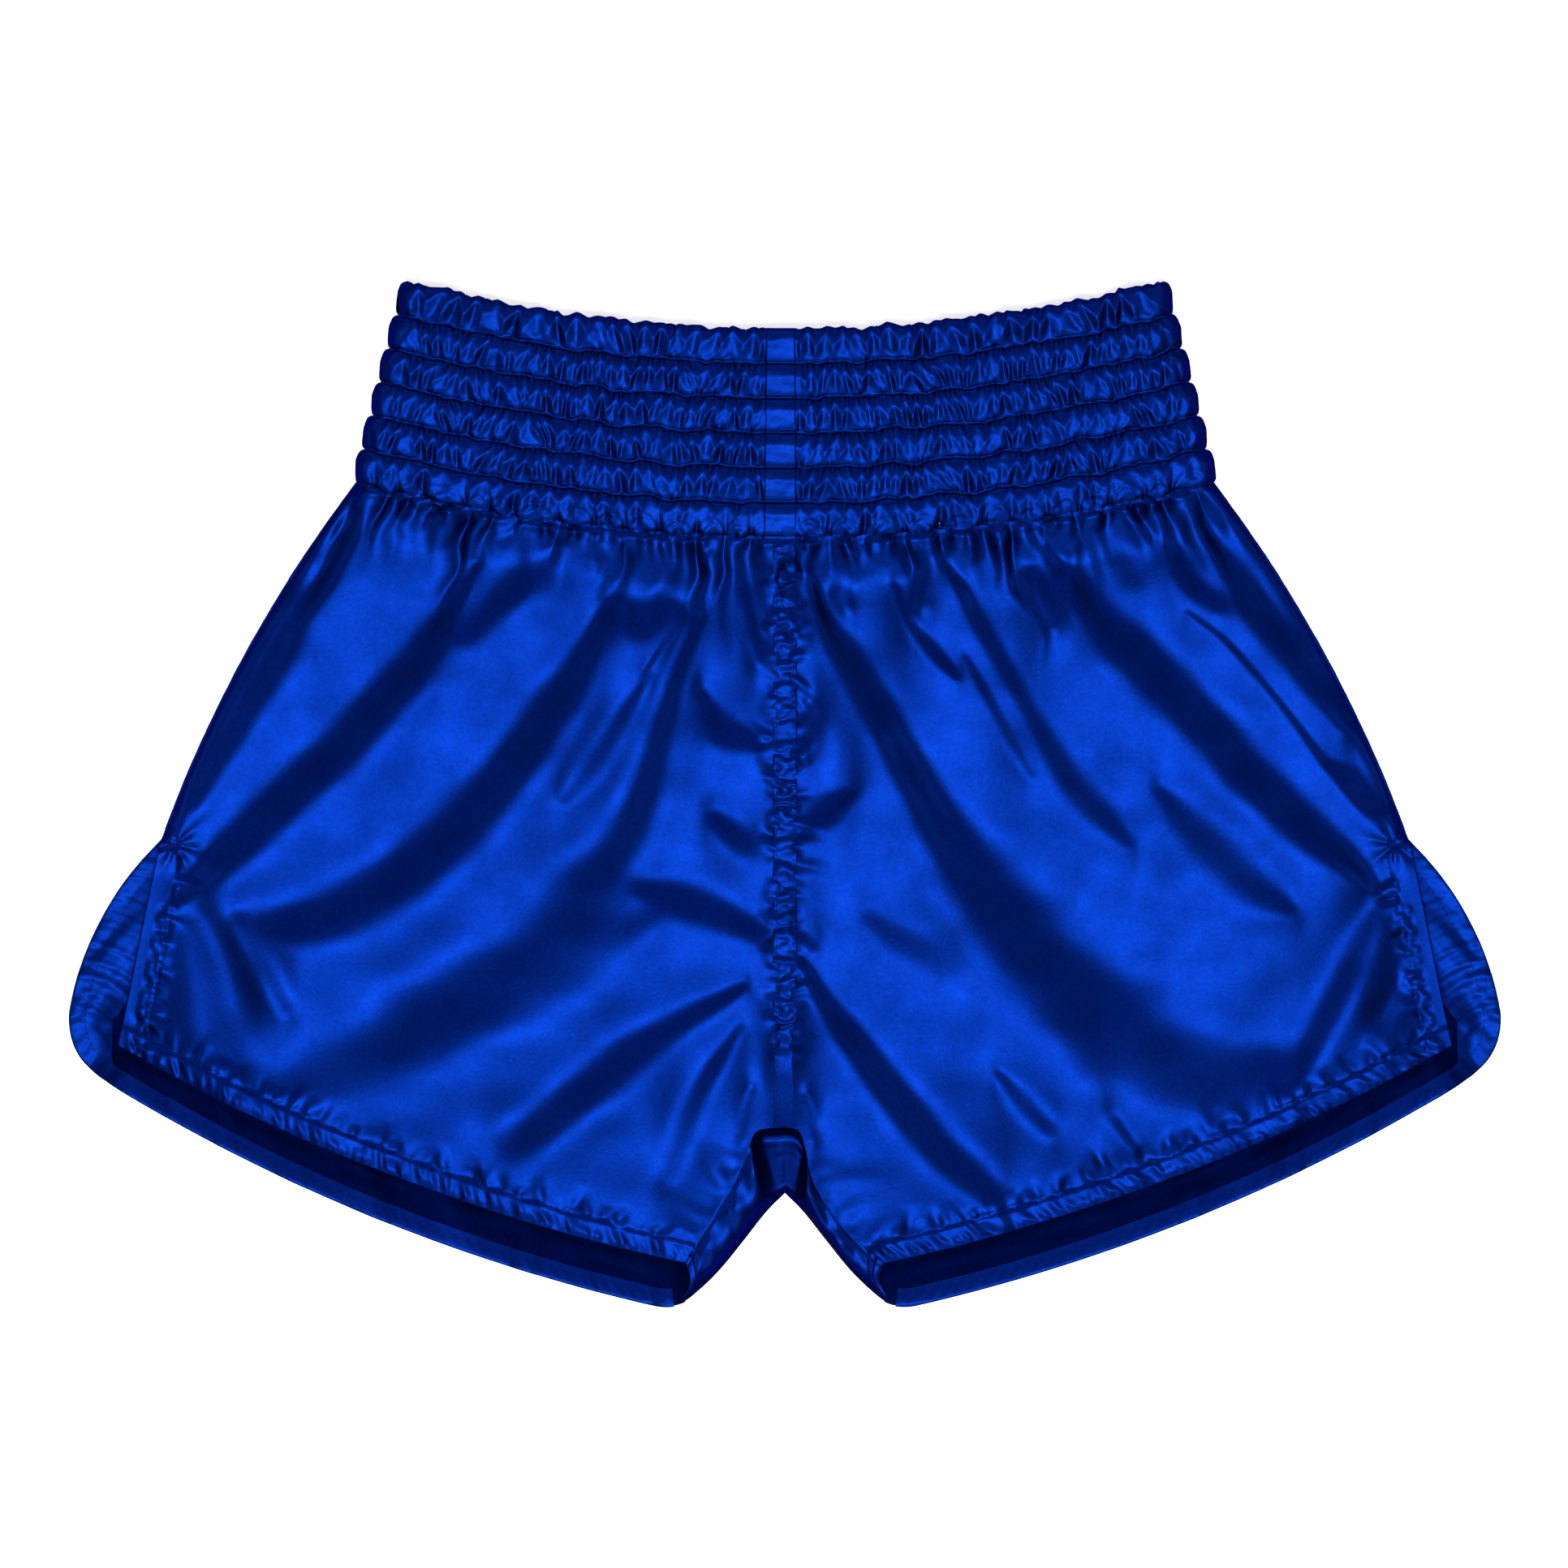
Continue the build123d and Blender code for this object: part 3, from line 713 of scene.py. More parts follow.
def backHeight(points):
    shape = backShape
    x, y = points[..., 0], points[..., 1]
    q = np.stack([np.abs(x), y], -1)
    below = np.hypot(x, cut["coneY"] - y) - cut["seamRadius"]
    edge, _ = lineDistance(sideLine, q)
    z = level["back"] + shape["wave"] * np.clip(waveNoise(7, x, y * 0.35, shape["waveSize"]), 0, None)
    join = level["waistMiddle"] - level["stitchRow"]
    z = z + (join - z) * (1 - smoothStep(0, 22, below))
    z = z + shape["gathered"] * np.clip(gathers(np.stack([-x, y], -1), below), 0, None)
    roll = 1 - np.sqrt(np.clip(1 - (1 - np.clip(edge / shape["sideRadius"], 0, 1)) ** 2, 0, 1))
    aboveSlit = smoothStep(-30, -20, y)
    return z + (level["side"] - z) * roll * aboveSlit * (edge < shape["sideRadius"])


# The fold that the front flaps turn about

foldA, foldB = np.array(cut["frontInseam"]), np.array(cut["slitTop"])
foldOut = np.array([(foldB - foldA)[1], -(foldB - foldA)[0]]) / np.linalg.norm(foldB - foldA)
foldRoom = 6.0  # mm on each side of the line; sets how far the reverse layer's wider gap there spreads


def bendWithFlap(piece):
    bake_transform(piece)


def clothArea(points):
    a, b, c = points[:-1, :-1], points[1:, :-1], points[:-1, 1:]
    return np.linalg.norm(np.cross(b - a, c - a), axis=-1).sum() * mm * mm


# Front panels

reverseGap, reverseGapAtFold = 1.1, 1.8  # below the satin, and more where it folds


def frontPlan(side):
    inner = resample(joinLines(np.array([waistLine[0], archLine[side][0]]), archLine[side]), 300)
    outer = resample(joinLines(sideLine, frontSlitLine), 300)
    return coonsGrid(resample(waistLine, 300), resample(frontHemLine, 300), inner, outer)


def frontPanel(name, side):
    plan = mirrored(frontPlan(side), side)
    points = withHeight(plan, frontHeight(plan))
    cloth = gridMesh("front_cloth_" + name, points, satin, flip=side > 0)
    bendWithFlap(cloth)
    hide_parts("front_panel_" + name, "front_flap_" + name)
    print("  front area", name, clothArea(points).round(4))
    beside = ((points[..., :2] * [side, 1] - foldA) @ foldOut) / (1.5 * foldRoom)
    layer = (reverseGap + reverseGapAtFold * np.exp(-beside**2))[..., None] * [0, 0, 1]
    # the front's wrong side, in the darker reverse colour: painted shade
    inside = gridMesh("front_reverse_" + name, (points - layer)[:-3:2, ::2], reverse, flip=side < 0)
    bendWithFlap(inside)
    # cloth turned in at the hem and at the slit
    hemEdge, slitEdge = resample(frontHemLine, 260)[:-12], resample(frontSlitLine, 110)
    for part, edge, width in (("hem", hemEdge, hemWidth), ("slit_facing", slitEdge, slitWidth)):
        inward = inwardOf(edge, insideLeg)
        rows = turnedEdge(edge, inward, width, lambda q: frontHeight(mirrored(q, side)), -1)
        flip = (side > 0) == (part == "hem")
        turned = gridMesh("front_" + part + "_" + name, mirrored(rows, side), satin, flip=flip)
        bendWithFlap(turned)
        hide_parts("front_" + part + "_" + name)


def turnedEdge(edge, inward, width, height, turn):
    # the cloth's edge rolled over and laid against its own inside: turn -1 goes under, +1 over
    bend = 0.7  # radius of the roll, mm
    rows = []
    lip = height(edge + inward * 0.2)
    for roll in np.linspace(0, np.pi, 7):
        rows.append(withHeight(edge - inward * bend * np.sin(roll), lip + turn * bend * (1 - np.cos(roll))))
    for gap in np.linspace(1.0, np.broadcast_to(width, len(edge)), 14):
        plan = edge + inward * gap[:, None]
        rows.append(withHeight(plan, height(plan) + turn * 2 * bend))
    return np.array(rows)


print("front panels")
for name, side in sides.items():
    frontPanel(name, side)

# Back panels

def backCurl(points):
    # the free edge below the front's hem lifts a little off the table, with thin ridges along it
    shape = backShape
    hem, along = lineDistance(backHemLine, points)
    slit, _ = lineDistance(backSlitLine, points)
    lift = shape["curl"] * np.clip(shape["curlWidth"] - hem, 0, shape["curlWidth"])
    lift = lift * smoothStep(8, 30, slit) * (1 - smoothStep(20, 50, hem))
    ridges = shape["ridge"] * waveNoise(55, 0.22 * along, hem, shape["ridgeSize"]) * smoothStep(7, 12, hem)
    x, y = points[..., 0], points[..., 1]
    streaks = shape["streak"] * waveNoise(56, x + 0.8 * y, 0.25 * y, shape["streakSize"])
    ripples = ridges + streaks * (1 - smoothStep(18, 34, slit))
    return (lift + ripples * (1 - smoothStep(30, 60, np.minimum(hem, slit)))) * smoothStep(-20, -50, y)


backGrid = coonsGrid(resample(waistLine, 220), resample(backHemLine[::-1], 220),
                     resample(joinLines(np.array([waistLine[0], backInseamLine[0]]), backInseamLine), 260),
                     resample(joinLines(sideLine, backSlitLine), 260))
backEdge = resample(joinLines(backSlitLine, backHemLine), 420)
backInward = inwardOf(backEdge, insideLeg)


def facingWidth():
    # wide down the slit and round the corner, and only a narrow turning along the hem
    hem, slit = backShape["hemFacing"], backShape["slitFacing"]
    run = np.linspace(0, lineLength(backEdge), len(backEdge))
    reach = (backEdge[:, 0] - backShape["facingEnd"]) / np.clip(-backInward[:, 0], 0.2, 1)
    corner = smoothStep(-30, -10, run - lineLength(backSlitLine))
    downSlit = hem + (slit - hem) * smoothStep(0, 40, run)
    return downSlit * (1 - corner) + np.clip(reach, hem, slit) * corner


def facingHeight(points, side):
    _, along = lineDistance(backEdge[::6], points)
    gap, _ = lineDistance(backEdge[::4], points)
    ripples = ripple(51 if side > 0 else 52, along + 0.8 * gap, backShape["puckerPitch"])
    puckered = backShape["pucker"] * (ripples + 0.3) * (1 - smoothStep(2.5, 6.0, gap))
    return backHeight(mirrored(points, side)) + backCurl(points) + puckered - 0.2


print("back panels")
for name, side in sides.items():
    plan = mirrored(backGrid, side)
    z = backHeight(plan) + backCurl(backGrid)
    cloth = gridMesh("back_cloth_" + name, withHeight(plan, z), satin, flip=side < 0)
    fasten(cloth, "back_panel_" + name)
    print("  back area", name, clothArea(withHeight(plan, z)).round(4))
    # the back's wrong side, in the darker reverse colour: painted shade inside the legs
    inside = gridMesh("back_reverse_" + name, withHeight(plan, z + 0.6)[:-2:2, ::2], reverse, flip=side > 0)
    fasten(inside)
    rows = turnedEdge(backEdge, backInward, facingWidth(), lambda q: facingHeight(q, side), 1)
    facing = gridMesh("back_edge_facing_" + name, mirrored(rows, side), satin, flip=side > 0)
    fasten(facing, "back_edge_facing_" + name)

# Seams: felled strips and rounded ridges

def felledStrip(name, line, across, height, lift, material, flip=False):
    # a strip laid along a line, its edges dipping into the cloth
    n = inwardOf(line, across)
    offsets = np.array([-5.4, -5.0, -4.2, -3.4, -2.4, -1.2, 0, 1.2, 2.4, 3.4, 4.2, 5.0, 5.4])
    rows = []
    for offset in offsets:
        plan = line + n * offset
        edge = smoothStep(4.6, 5.4, abs(offset))
        groove = np.exp(-((abs(offset) - 3.8) / 0.7) ** 2)
        rows.append(withHeight(plan, height(plan) + lift * (1 - 1.6 * edge - 0.7 * groove)))
    return gridMesh(name, np.array(rows), material, flip)


def centreFrontHeight(plan):
    # drawn up by its stitches into uneven blobs, but plain at the crotch
    x, y = plan[..., 0], plan[..., 1]
    at, rng = unevenIndex(61, -20, 300, 9.2, 0.35)
    index = np.interp(160 - y + 1.7 * waveNoise(62, x, y, 11), at, np.arange(len(at)))
    strength = np.interp(index, np.arange(len(at)), rng.uniform(0.5, 1.2, len(at)))
    blob = np.cos(2 * np.pi * index) * (1 - 0.45 * (x / 4.5) ** 2) + 0.3 * waveNoise(63, x, y, 7)
    return frontHeight(plan * [0.35, 1]) + 0.62 * strength * blob * smoothStep(-122, -106, y) + 0.3


print("seams")
waistY = cut["coneY"] - cut["seamRadius"]
centreLine = np.stack([np.zeros(420), np.linspace(waistY + 0.5, archLine[1][0, 1] + 0.5, 420)], 1)
strip = felledStrip("centre_front_seam_cloth", centreLine, (100, 0), centreFrontHeight, 0.35, satin)
fasten(strip, "centre_front_seam")
backCentre = np.stack([np.zeros(160), np.linspace(waistY - 2, backInseamLine[0, 1] + 3, 160)], 1)
strip = felledStrip("centre_back_seam_cloth", backCentre, (100, 0), backHeight, -0.35, satin, flip=True)
fasten(strip, "centre_back_seam")

for name, side in sides.items():
    line = resample(sideLine, 200)
    out = -inwardOf(line, (0, 0))
    turns = np.linspace(-1.9, 1.9, 9)[:, None]
    wave = 0.25 * waveNoise(71, line[:, 0], line[:, 1], 14)
    plan = line[None] + out[None] * (0.9 * np.cos(turns)[..., None] - 0.2 + 0.3 * wave[None, :, None])
    points = mirrored(withHeight(plan, level["side"] + 1.1 * np.sin(turns)), side)
    ridge = gridMesh("side_seam_cloth_" + name, points, satin, flip=side < 0)
    fasten(ridge, "side_seam_" + name)

# Gusset: the strip between the legs, from the front's inner edge round to the back's

print("gusset")
gussetFront = joinLines(mirrored(resample(archLine[-1], 110), -1)[::-1], resample(archLine[1], 110))
gussetBack = joinLines(mirrored(resample(backInseamLine, 110), -1)[::-1], resample(backInseamLine, 110))
gussetTurns = np.linspace(0, 1, 30)


gussetShape = {  # mm
    "halfLength": 77,
    "roundEnd": 4.5,  # how far the open end of each leg draws in
    "drop": 6,  # the higher, the later it falls away to the table
    "hollowDrop": 14,
    "hollowRise": 6.0, "hollowSides": 0.28, "hollowMiddle": -1.5,
    "crease": 0.8, "creaseSize": 22,
    "hemBand": 5.0, "hemRise": 0.5, "hemDent": 0.6,
}


def gussetPoints():
    # convex round each leg, hollow at the middle where the seams meet
    shape = gussetShape
    t = gussetTurns[:, None]
    place = np.abs(np.linspace(-1, 1, len(gussetFront)))[None]
    fromEnd = (1 - place) * shape["halfLength"]
    leg = smoothStep(0.14 - 0.09 * t, 0.26 - 0.13 * t, place)
    across = leg * np.sin(t * np.pi / 2) ** 0.9 + (1 - leg) * t
    plan = gussetFront[None] * (1 - across[..., None]) + gussetBack[None] * across[..., None]
    side = np.sign(gussetFront[None, :, 0])
    plan[..., 0] -= side * shape["roundEnd"] * np.sin(np.pi * across) * smoothStep(0.78, 1.0, place)
    top, low = frontHeight(gussetFront)[None] + 0.2, np.full((1, len(gussetBack)), level["back"] + 0.3)
    rounded = top + (low - top) * across ** shape["drop"]
    trough = shape["hollowSides"] * (np.hypot(plan[..., 0] - shape["hollowMiddle"], 2.0) - 2.0)
    inHollow = smoothStep(0.05, 0.3, t) * (1 - smoothStep(0.85, 1.0, t))
    hollow = low + (top - low) * (1 - t) ** shape["hollowDrop"]
    hollow = hollow + (shape["hollowRise"] * t + trough) * inHollow
    hollow = hollow + 0.15 * np.exp(-((t - 0.42) / 0.03) ** 2)
    z = leg * rounded + (1 - leg) * hollow
    crease = waveNoise(81, plan[..., 0], plan[..., 1], shape["creaseSize"])
    crease = crease * smoothStep(0.0, 0.25, t) * (1 - smoothStep(0.7, 1, t))
    z = z + shape["crease"] * crease * leg - 0.7 * np.exp(-((t - 0.03) / 0.03) ** 2) * leg
    # the hem round the end: a thicker band under a dented row
    inBand = 1 - smoothStep(shape["hemBand"] - 0.6, shape["hemBand"] + 0.4, fromEnd)
    row = np.exp(-((fromEnd - shape["hemBand"] - 0.2) / 0.6) ** 2)
    z = z + (shape["hemRise"] * inBand - shape["hemDent"] * row) * (1 - t**3)
    return withHeight(plan, z)


gusset = gussetPoints()
cloth = gridMesh("gusset_cloth", gusset, satin, flip=True)
fasten(cloth, "crotch_gusset")
print("  gusset area", clothArea(gusset).round(5))
for name, side in sides.items():
    # the hem's turned-in layer: over the end in a small roll and 5 mm back along the inside
    end = gusset if side > 0 else gusset[:, ::-1]
    out = end[:, -1] - end[:, -2]
    out /= np.linalg.norm(out, axis=1)[:, None]
    inside = side * np.cross(np.gradient(end[:, -1], axis=0), out)
    inside /= np.linalg.norm(inside, axis=1)[:, None]
    rows = [end[:, -1] + out * 0.5 * np.sin(roll) + inside * 0.5 * (1 - np.cos(roll))
            for roll in np.linspace(0, np.pi, 7)]
    rows += [end[:, -1 - back] + inside for back in range(1, 8)]
    turned = gridMesh("gusset_hem_cloth_" + name, np.array(rows), satin, flip=side > 0)
    fasten(turned, "gusset_hem_" + name)

# Waistband: six channels of gathered satin over elastic

band = {
    "channels": 6,
    "pitch": (cut["seamRadius"] - cut["waistRadius"]) / 6,
    "flatColumns": 553,
    "capColumns": 15,
    "rows": 146,
    "lowerEdge": 0.6,  # mm that the cloth goes on past the waist seam
    "strip": (-2.0, 7.6),  # middle and half width of the plain strip at the front
    "middleRadius": 714.0,  # where the pleats' spacing is measured
    "halfChannel": 7.5,
    "sideRadius": 7.5,
    "overElastic": 6.2, "elsewhere": 5.2,  # the least half thickness
    "front": {"seed": 100, "plainStrip": True, "limit": 11.0},
    "back": {"seed": 200, "plainStrip": False, "limit": 8.8},
}
# per channel from the top: mm between pleats, crest below the upper row, its swing and how steeply it falls
channelLooks = {
    0: {"pleat": 8.4, "crest": 5.2, "swing": 4.0, "fall": 0.24, "sway": 2.4, "pleated": 0.16},
    "middle": {"pleat": 5.4, "crest": 6.4, "swing": 3.6, "fall": 0.24, "sway": 2.4, "pleated": 0.0},
    5: {"pleat": 7.4, "crest": 5.4, "swing": 2.6, "fall": 0.2, "sway": 1.2, "pleated": 0.08},
}


def channelHeight(down, crest, fall):
    # half thickness at a depth into a channel: up from the stitch row, over a crest, and down to the next
    room = 1 - np.exp(-down / 0.85)
    foot = 1 - np.exp(-(band["pitch"] - down) / 0.7)
    tent = (np.sqrt((down - crest) ** 2 + 0.35) - 0.6) * (0.82 + 0.28 * np.tanh(down - crest))
    rise = (level["crest"] - level["stitchRow"]) * np.clip(room * foot, 0, 1)
    return level["stitchRow"] + rise - fall * tent * room * foot


def bandHalf(seed, plainStrip, limit):
    # the band's half thickness over its flat front or back and round both sides, as (plan, height)
    capTurn = np.linspace(0, math.pi / 2, band["capColumns"] + 1)[1:]
    flat = np.linspace(-1, 1, band["flatColumns"])
    turn = np.r_[-capTurn[::-1], np.zeros(band["flatColumns"]), capTurn]
    share = np.r_[-np.ones(band["capColumns"]), flat, np.ones(band["capColumns"])]
    radius = np.linspace(cut["waistRadius"], cut["seamRadius"] + band["lowerEdge"], band["rows"])
    channel = np.clip(((radius - cut["waistRadius"]) // band["pitch"]).astype(int), 0, band["channels"] - 1)
    down = np.clip(radius - cut["waistRadius"] - channel * band["pitch"], 0, band["pitch"])
    across = share[:, None] * (cut["flatAngle"] * radius)[None] + turn[:, None] * band["sideRadius"]
    height = np.zeros(across.shape)
    facing = np.cos(turn)[:, None]
    scallop = 0.8 * waveNoise(seed + 90, across, 0.25 * radius[None] + 0 * across, 17) * facing
    middle, width = band["strip"]
    if plainStrip:
        scallop *= smoothStep(width, width + 6, np.abs(across - middle))
    for c in range(band["channels"]):
        rows = channel == c
        s = across[:, rows] * band["middleRadius"] / radius[rows]
        d = np.broadcast_to(down[rows], s.shape)
        look = channelLooks.get(c, channelLooks["middle"])
        at, rng = unevenIndex(seed + c, -215, 215, look["pleat"] / 2, 0.45)
        swing = rng.uniform(0.3, 1.0, len(at)) * np.where(np.arange(len(at)) % 2, 1, -1)
        # the crest zigzags between the rows, as pleats from one row meet gaps from the other
        skew = look["sway"] * waveNoise(seed + 40 + c, s, 0 * s, 24) * (d / band["halfChannel"] - 1)
        index = np.interp(s + skew, at, np.arange(len(at)))
        k = np.clip(index.astype(int), 0, len(at) - 2)
        ease = 0.6 * (index - k) + 0.4 * smoothStep(0, 1, index - k)
        zigzag = swing[k] * (1 - ease) + swing[k + 1] * ease
        plain = np.zeros(s.shape)
        if plainStrip:
            plain = 1 - smoothStep(width - 0.5, width + 1.5, np.abs(across[:, rows] - middle))
        calm = (1 - plain) * facing
        strength = np.interp(index, np.arange(len(at)), rng.uniform(0.45, 1.4, len(at)))
        h = channelHeight(d, look["crest"] + look["swing"] * zigzag * calm, look["fall"] * strength)
        nearRow = np.exp(-((np.minimum(d, band["pitch"] - d) - 1.2) / 2.0) ** 2)
        h += (0.42 * np.cos(np.pi * index) * nearRow + look["pleated"] * zigzag * (1 - nearRow)) * calm
        h += 0.10 * waveNoise(seed + 60 + c, s, 0.7 * d, 8) * calm * (1 - nearRow)
        if c == 0:
            scallop[:, rows] += 0.9 * zigzag * calm * np.exp(-d / 3.0)
        if c == band["channels"] - 1:
            # small arches between the pinches of the body's gathers
            near = np.interp(across[:, rows], gatherAt, np.arange(len(gatherAt)))
            fromPinch = (near - np.round(near)) * gather["pitch"]
            up = cut["seamRadius"] - radius[rows][None, :]
            ring = np.hypot((near % 1 - 0.5) * gather["pitch"], up)
            arches = 0.35 * np.exp(-((ring - 6.3) / 1.1) ** 2) + 0.22 * np.exp(-((ring - 3.4) / 0.9) ** 2)
            h += calm * strength * arches
            h -= calm * 1.5 * np.exp(-((np.abs(fromPinch) / 1.1) + up / 6.0))
            scallop[:, rows] += 1.4 * (np.abs(np.sin(np.pi * near)) - 0.4) * np.exp(-up / 2.5) * calm
        height[:, rows] = h
    least = np.where(np.abs(down - 7.6) < 5.6, band["overElastic"], band["elsewhere"])
    height = np.clip(height, least, limit)
    angle = share * cut["flatAngle"]
    plan = onCone(np.broadcast_to(radius, across.shape) + scallop, angle[:, None])
    tangent = np.stack([np.cos(angle), np.sin(angle)], -1)[:, None]
    plan = plan + tangent * (height * np.sin(turn)[:, None])[..., None]
    return plan, height * facing, height


def bandCloth(name, up, spec):
    plan, z, height = bandHalf(**spec)
    # the top edge rolls over to the lining
    top, above = plan[:, :1], plan[:, 1:2] - plan[:, :1]
    outwards = -above / np.linalg.norm(above, axis=-1, keepdims=True)
    roll = np.linspace(math.pi / 2, 0, 6)[:-1]
    share = np.abs(z[:, :1]) / height[:, :1]
    drop = level["lining"] * share
    rollZ = drop + (z[:, :1] - drop) * np.cos(roll)[None]
    rollPlan = top - outwards * (1.6 * (1 - np.cos(roll)))[None, :, None]
    # round the sides it rolls inwards too
    inwards = np.sqrt(np.clip(1 - share**2, 0, 1)) * (height[:, :1] - level["lining"]) * (1 - np.cos(roll))
    rollPlan = rollPlan - inwards[..., None] * (np.sign(top[..., :1]) * [sideways[0], 0] + [0, sideways[1]])
    plan = np.concatenate([rollPlan, plan], 1)
    z = np.concatenate([rollZ, z], 1)
    cloth = gridMesh(name, withHeight(plan, level["waistMiddle"] + up * z), satin, flip=up < 0)
    fasten(cloth)
    print("  ", name, "area", clothArea(withHeight(plan, z)).round(4))
    return cloth


print("waistband")
bandFront = bandCloth("waistband_front", 1, band["front"])
bandBack = bandCloth("waistband_back", -1, band["back"])
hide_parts("waistband_cover")


def loopPoints(halfThick, low, high, rows, columns):
    # the whole loop of the lining, seen from inside the waist
    radius = np.linspace(low, high, rows)
    flat = np.linspace(-1, 1, columns)
    turn = np.linspace(0, np.pi, 13)[1:-1]
    share = np.r_[flat, np.ones(11), flat[::-1], -np.ones(11), flat[:1]]
    bend = np.r_[np.zeros(columns), turn, np.full(columns, np.pi), np.pi + turn, 0]
    angle = share * cut["flatAngle"]
    plan = onCone(np.broadcast_to(radius, (len(share), rows)), angle[:, None])
    out = np.stack([np.cos(angle), np.sin(angle)], -1) * (np.abs(np.sin(bend)) * share)[:, None]
    z = level["waistMiddle"] + halfThick * np.cos(bend)
    channels = np.sin(np.linspace(0, band["channels"] * np.pi, rows)) ** 2
    gathered = 0.35 * np.abs(np.sin(share * 95))[:, None] * channels * np.cos(bend)[:, None]
    return withHeight(plan + out[:, None] * halfThick, z[:, None] + gathered)


loop = loopPoints(level["lining"], cut["waistRadius"] + 1.2, cut["seamRadius"], 90, 240)
# the lining, in the darker reverse colour: painted shade inside the waist
lining = gridMesh("waistband_lining_cloth", loop, reverse)
fasten(lining, "waistband_lining")

# the plain strip that covers the band's join
middle, width = band["strip"]
offsets = np.linspace(-width, width, 31)
radius = np.linspace(cut["waistRadius"] - 0.2, cut["seamRadius"] + 0.8, 200)
channel = (radius - cut["waistRadius"]) / band["pitch"]
down = (channel % 1) * band["pitch"]
lift = channelHeight(down, np.where(channel < 1, 5.0, 5.6), 0.2)
lift = np.broadcast_to(np.where((channel < 0) | (channel > 6), level["stitchRow"], lift) + 0.6, (31, 200))
edge = smoothStep(width - 1.2, width, np.abs(offsets))[:, None]
crease = 0.12 * waveNoise(91, offsets[:, None], radius[None], 11)
stripPlan = onCone(radius[None], (middle + offsets[:, None]) / band["middleRadius"])
stripHeight = level["waistMiddle"] + lift * (1 - 0.16 * edge) + crease
strip = gridMesh("waistband_join_cloth", withHeight(stripPlan, stripHeight), satin)
fasten(strip, "waistband_join_strip")

# Stitches: one thread ellipsoid at each step along the seam lines

def stitchTree():
    tree = bpy.data.node_groups.new("stitches along edges", "GeometryNodeTree")
    tree.interface.new_socket("Geometry", in_out="INPUT", socket_type="NodeSocketGeometry")
    for label, value in (("Step", 2.6 * mm), ("Length", 1.9 * mm), ("Thickness", 0.45 * mm), ("Turn", 0.0)):
        socket = tree.interface.new_socket(label, in_out="INPUT", socket_type="NodeSocketFloat")
        socket.default_value = value
    tree.interface.new_socket("Material", in_out="INPUT", socket_type="NodeSocketMaterial")
    tree.interface.new_socket("Geometry", in_out="OUTPUT", socket_type="NodeSocketGeometry")
    given = addNode(tree, "NodeGroupInput", {}, {}).outputs
    curve = addNode(tree, "GeometryNodeMeshToCurve", {}, {"Mesh": given["Geometry"]})
    steps = addNode(tree, "GeometryNodeResampleCurve", {"mode": "LENGTH"},
                    {"Curve": curve.outputs[0], "Length": given["Step"]})
    tangent = addNode(tree, "GeometryNodeInputTangent", {}, {}).outputs[0]
    along = addNode(tree, "FunctionNodeAlignRotationToVector", {"axis": "X"}, {"Vector": tangent})
    spin = addNode(tree, "ShaderNodeCombineXYZ", {}, {"Z": given["Turn"]})
    turned = addNode(tree, "FunctionNodeRotateRotation", {"rotation_space": "LOCAL"},
                     {"Rotation": along.outputs[0], "Rotate By": spin.outputs[0]})
    bead = addNode(tree, "GeometryNodeMeshUVSphere", {"Segments": 6, "Rings": 5, "Radius": 0.5}, {})
    shape = addNode(tree, "ShaderNodeCombineXYZ", {},
                    {"X": given["Length"], "Y": given["Thickness"], "Z": given["Thickness"]})
    placed = addNode(tree, "GeometryNodeInstanceOnPoints", {},
                     {"Points": steps.outputs[0], "Instance": bead.outputs[0],
                      "Rotation": turned.outputs[0], "Scale": shape.outputs[0]})
    real = addNode(tree, "GeometryNodeRealizeInstances", {}, {"Geometry": placed.outputs[0]})
    smooth = addNode(tree, "GeometryNodeSetShadeSmooth", {}, {"Geometry": real.outputs[0]})
    painted = addNode(tree, "GeometryNodeSetMaterial", {},
                      {"Geometry": smooth.outputs[0], "Material": given["Material"]})
    addNode(tree, "NodeGroupOutput", {}, {"Geometry": painted.outputs[0]})
    return tree


stitches = stitchTree()


def stitchRows(name, rows, settings):
    # rows of points in mm to stitches; the settings are the tree's inputs by name
    mesh = bpy.data.meshes.new(name + "_lines")
    starts = np.cumsum([0] + [len(r) for r in rows])
    edges = [(k, k + 1) for a, b in zip(starts[:-1], starts[1:]) for k in range(a, b - 1)]
    mesh.from_pydata([tuple(p * mm) for row in rows for p in row], edges, [])
    lines = bpy.data.objects.new(name + "_lines", mesh)
    bpy.context.scene.collection.objects.link(lines)
    modifier = lines.modifiers.new("stitches", "NODES")
    modifier.node_group = stitches
    for item in stitches.interface.items_tree:
        if item.in_out == "INPUT" and item.name in settings:
            modifier[item.identifier] = settings[item.name]
        elif item.in_out == "INPUT" and item.name == "Material":
            modifier[item.identifier] = thread
    made = bpy.data.meshes.new_from_object(lines.evaluated_get(bpy.context.evaluated_depsgraph_get()))
    bpy.data.objects.remove(lines)
    made.name = name
    piece = bpy.data.objects.new(name, made)
    bpy.context.scene.collection.objects.link(piece)
    return piece


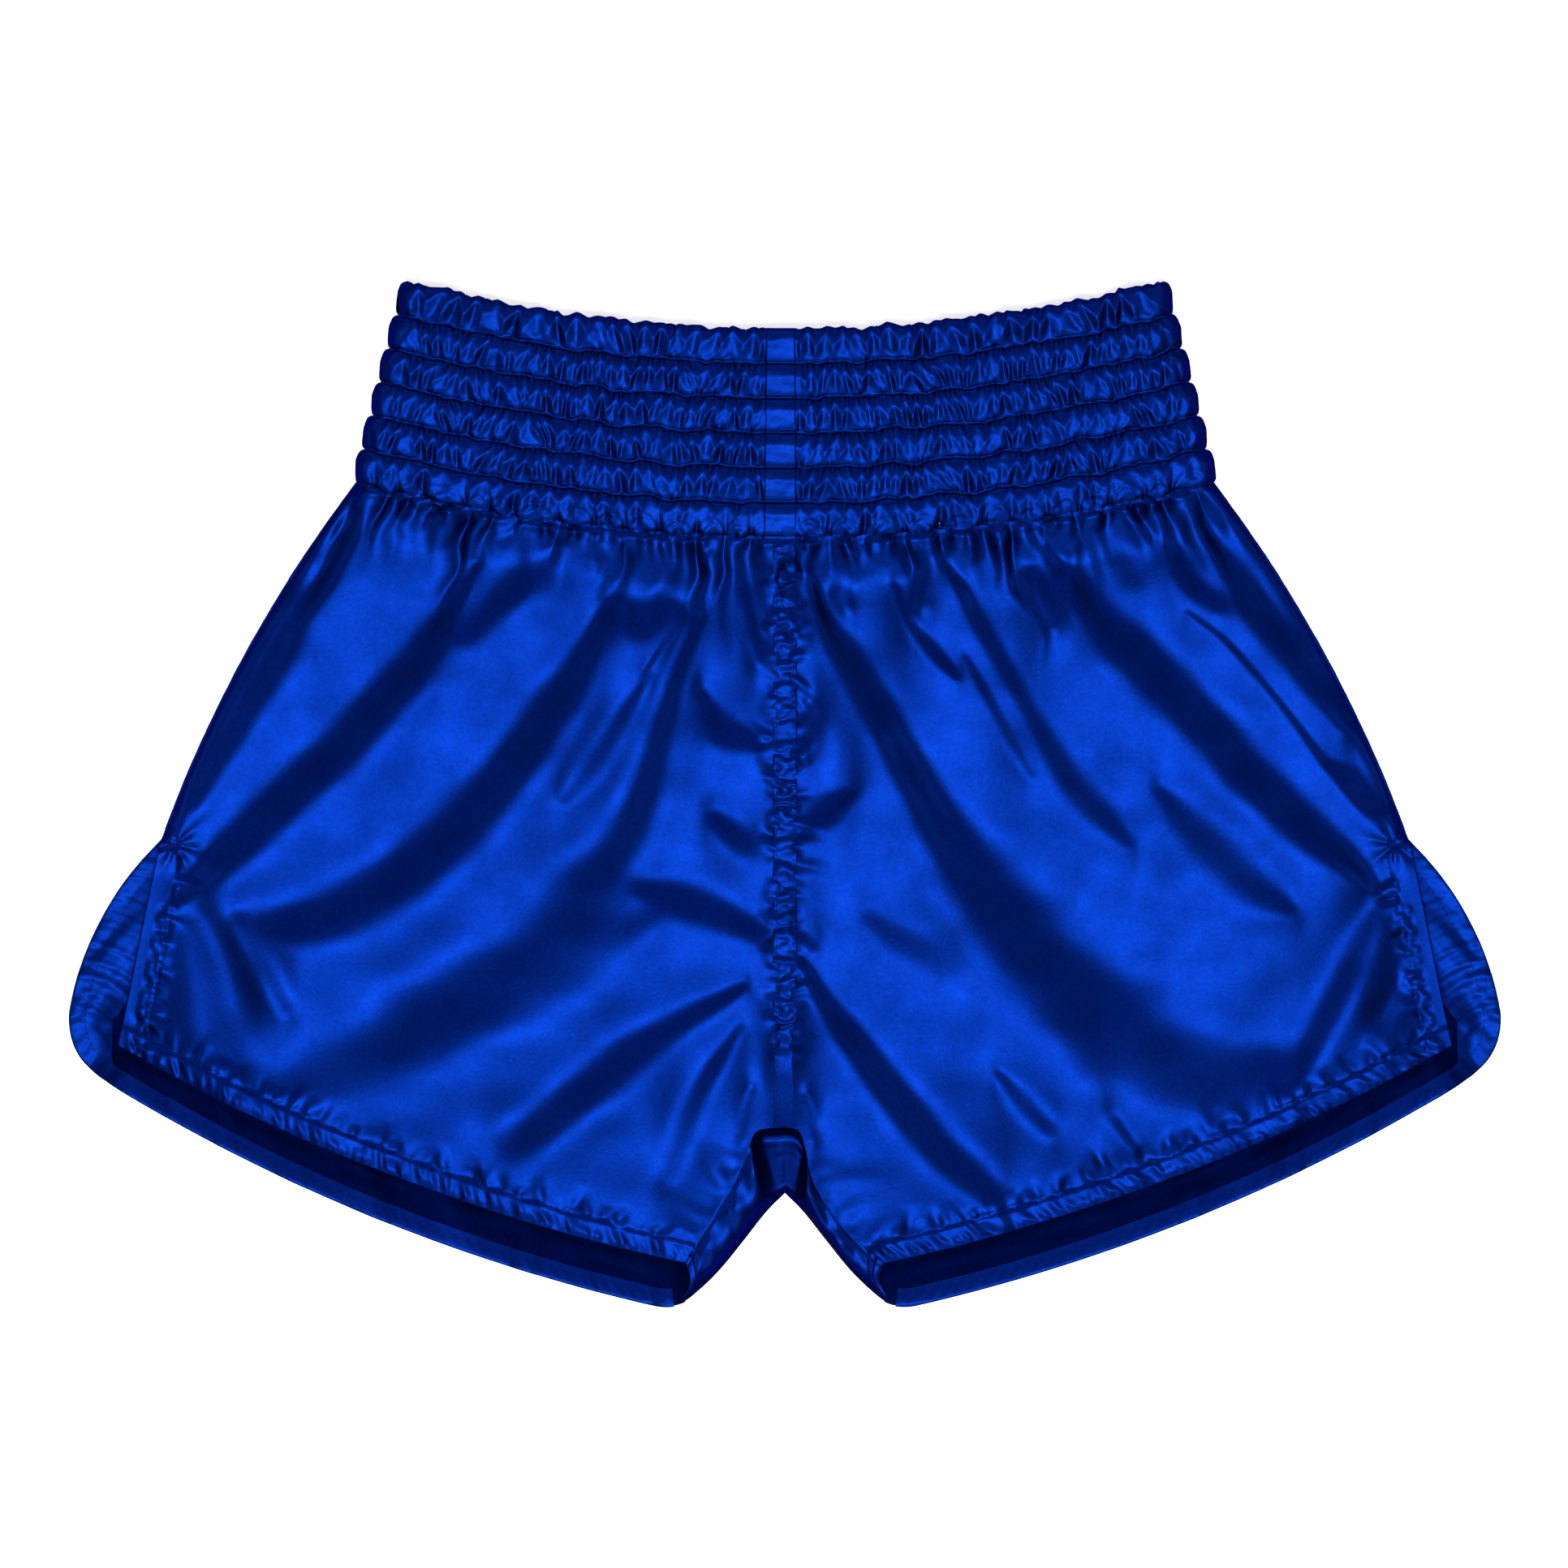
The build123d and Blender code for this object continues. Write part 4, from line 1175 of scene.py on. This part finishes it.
print("stitches")
stitch = {
    "seam": {"Step": 2.7 * mm, "Length": 1.9 * mm, "Thickness": 0.5 * mm},
    "band": {"Step": 3.9 * mm, "Length": 1.7 * mm, "Thickness": 0.5 * mm},
    "tack": {"Step": 0.5 * mm, "Length": 2.6 * mm, "Thickness": 0.55 * mm, "Turn": math.pi / 2},
}


def sew(name, node, kind, rows, flap=None):
    piece = stitchRows(name, rows, stitch[kind])
    if flap:
        bendWithFlap(piece)
    else:
        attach(piece, "root")
    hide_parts(node)


perRow = (band["rows"] - 1) / (cut["seamRadius"] + band["lowerEdge"] - cut["waistRadius"])
bandRows = []
for up, spec in ((1, band["front"]), (-1, band["back"])):
    plan, z, height = bandHalf(**spec)
    for c in range(1, band["channels"] + 1):
        row = min(int(round(c * band["pitch"] * perRow)), band["rows"] - 2)
        bandRows.append(withHeight(plan[:, row], level["waistMiddle"] + up * (z[:, row] + 0.15))[::2])
sew("waistband_stitches", "waistband_stitching", "band", bandRows)

seamPlans = [centreLine[2:-2:6] + [x, 0] for x in (-3.8, 3.8)]
seamRows = [withHeight(plan, centreFrontHeight(plan) + 0.45) for plan in seamPlans]
sew("centre_front_stitches", "centre_front_stitching", "seam", seamRows)

frontRows = (("front_hem", frontHemLine, 9.2, -9), ("front_slit", frontSlitLine, 11.0, -8))
for name, side in sides.items():
    for part, line, gap, last in frontRows:
        run = resample(line, 120)
        plan = mirrored((run + inwardOf(run, insideLeg) * gap)[3:last], side)
        row = withHeight(plan, frontHeight(plan) + 0.25)
        sew(part + "_stitches_" + name, part + "_stitching_" + name, "seam", [row], name)
    run = resample(joinLines(backSlitLine, backHemLine), 200)
    inner = (run + inwardOf(run, insideLeg) * 6.6)[6:-4]
    plan = mirrored(inner, side)
    row = withHeight(plan, backHeight(plan) + backCurl(inner) + 1.5)
    sew("back_edge_stitches_" + name, "back_edge_stitching_" + name, "seam", [row])
    plan = mirrored(np.linspace((275.0, -25.0), (266.5, -22.0), 12), side)
    row = withHeight(plan, frontHeight(plan) + 0.3)
    sew("slit_bartack_stitches_" + name, "slit_bartack_" + name, "tack", [row])

for k in range(1, band["channels"] + 1):
    for slot in bpy.data.objects["elastic_band_%d" % k].material_slots:
        slot.material = elastic
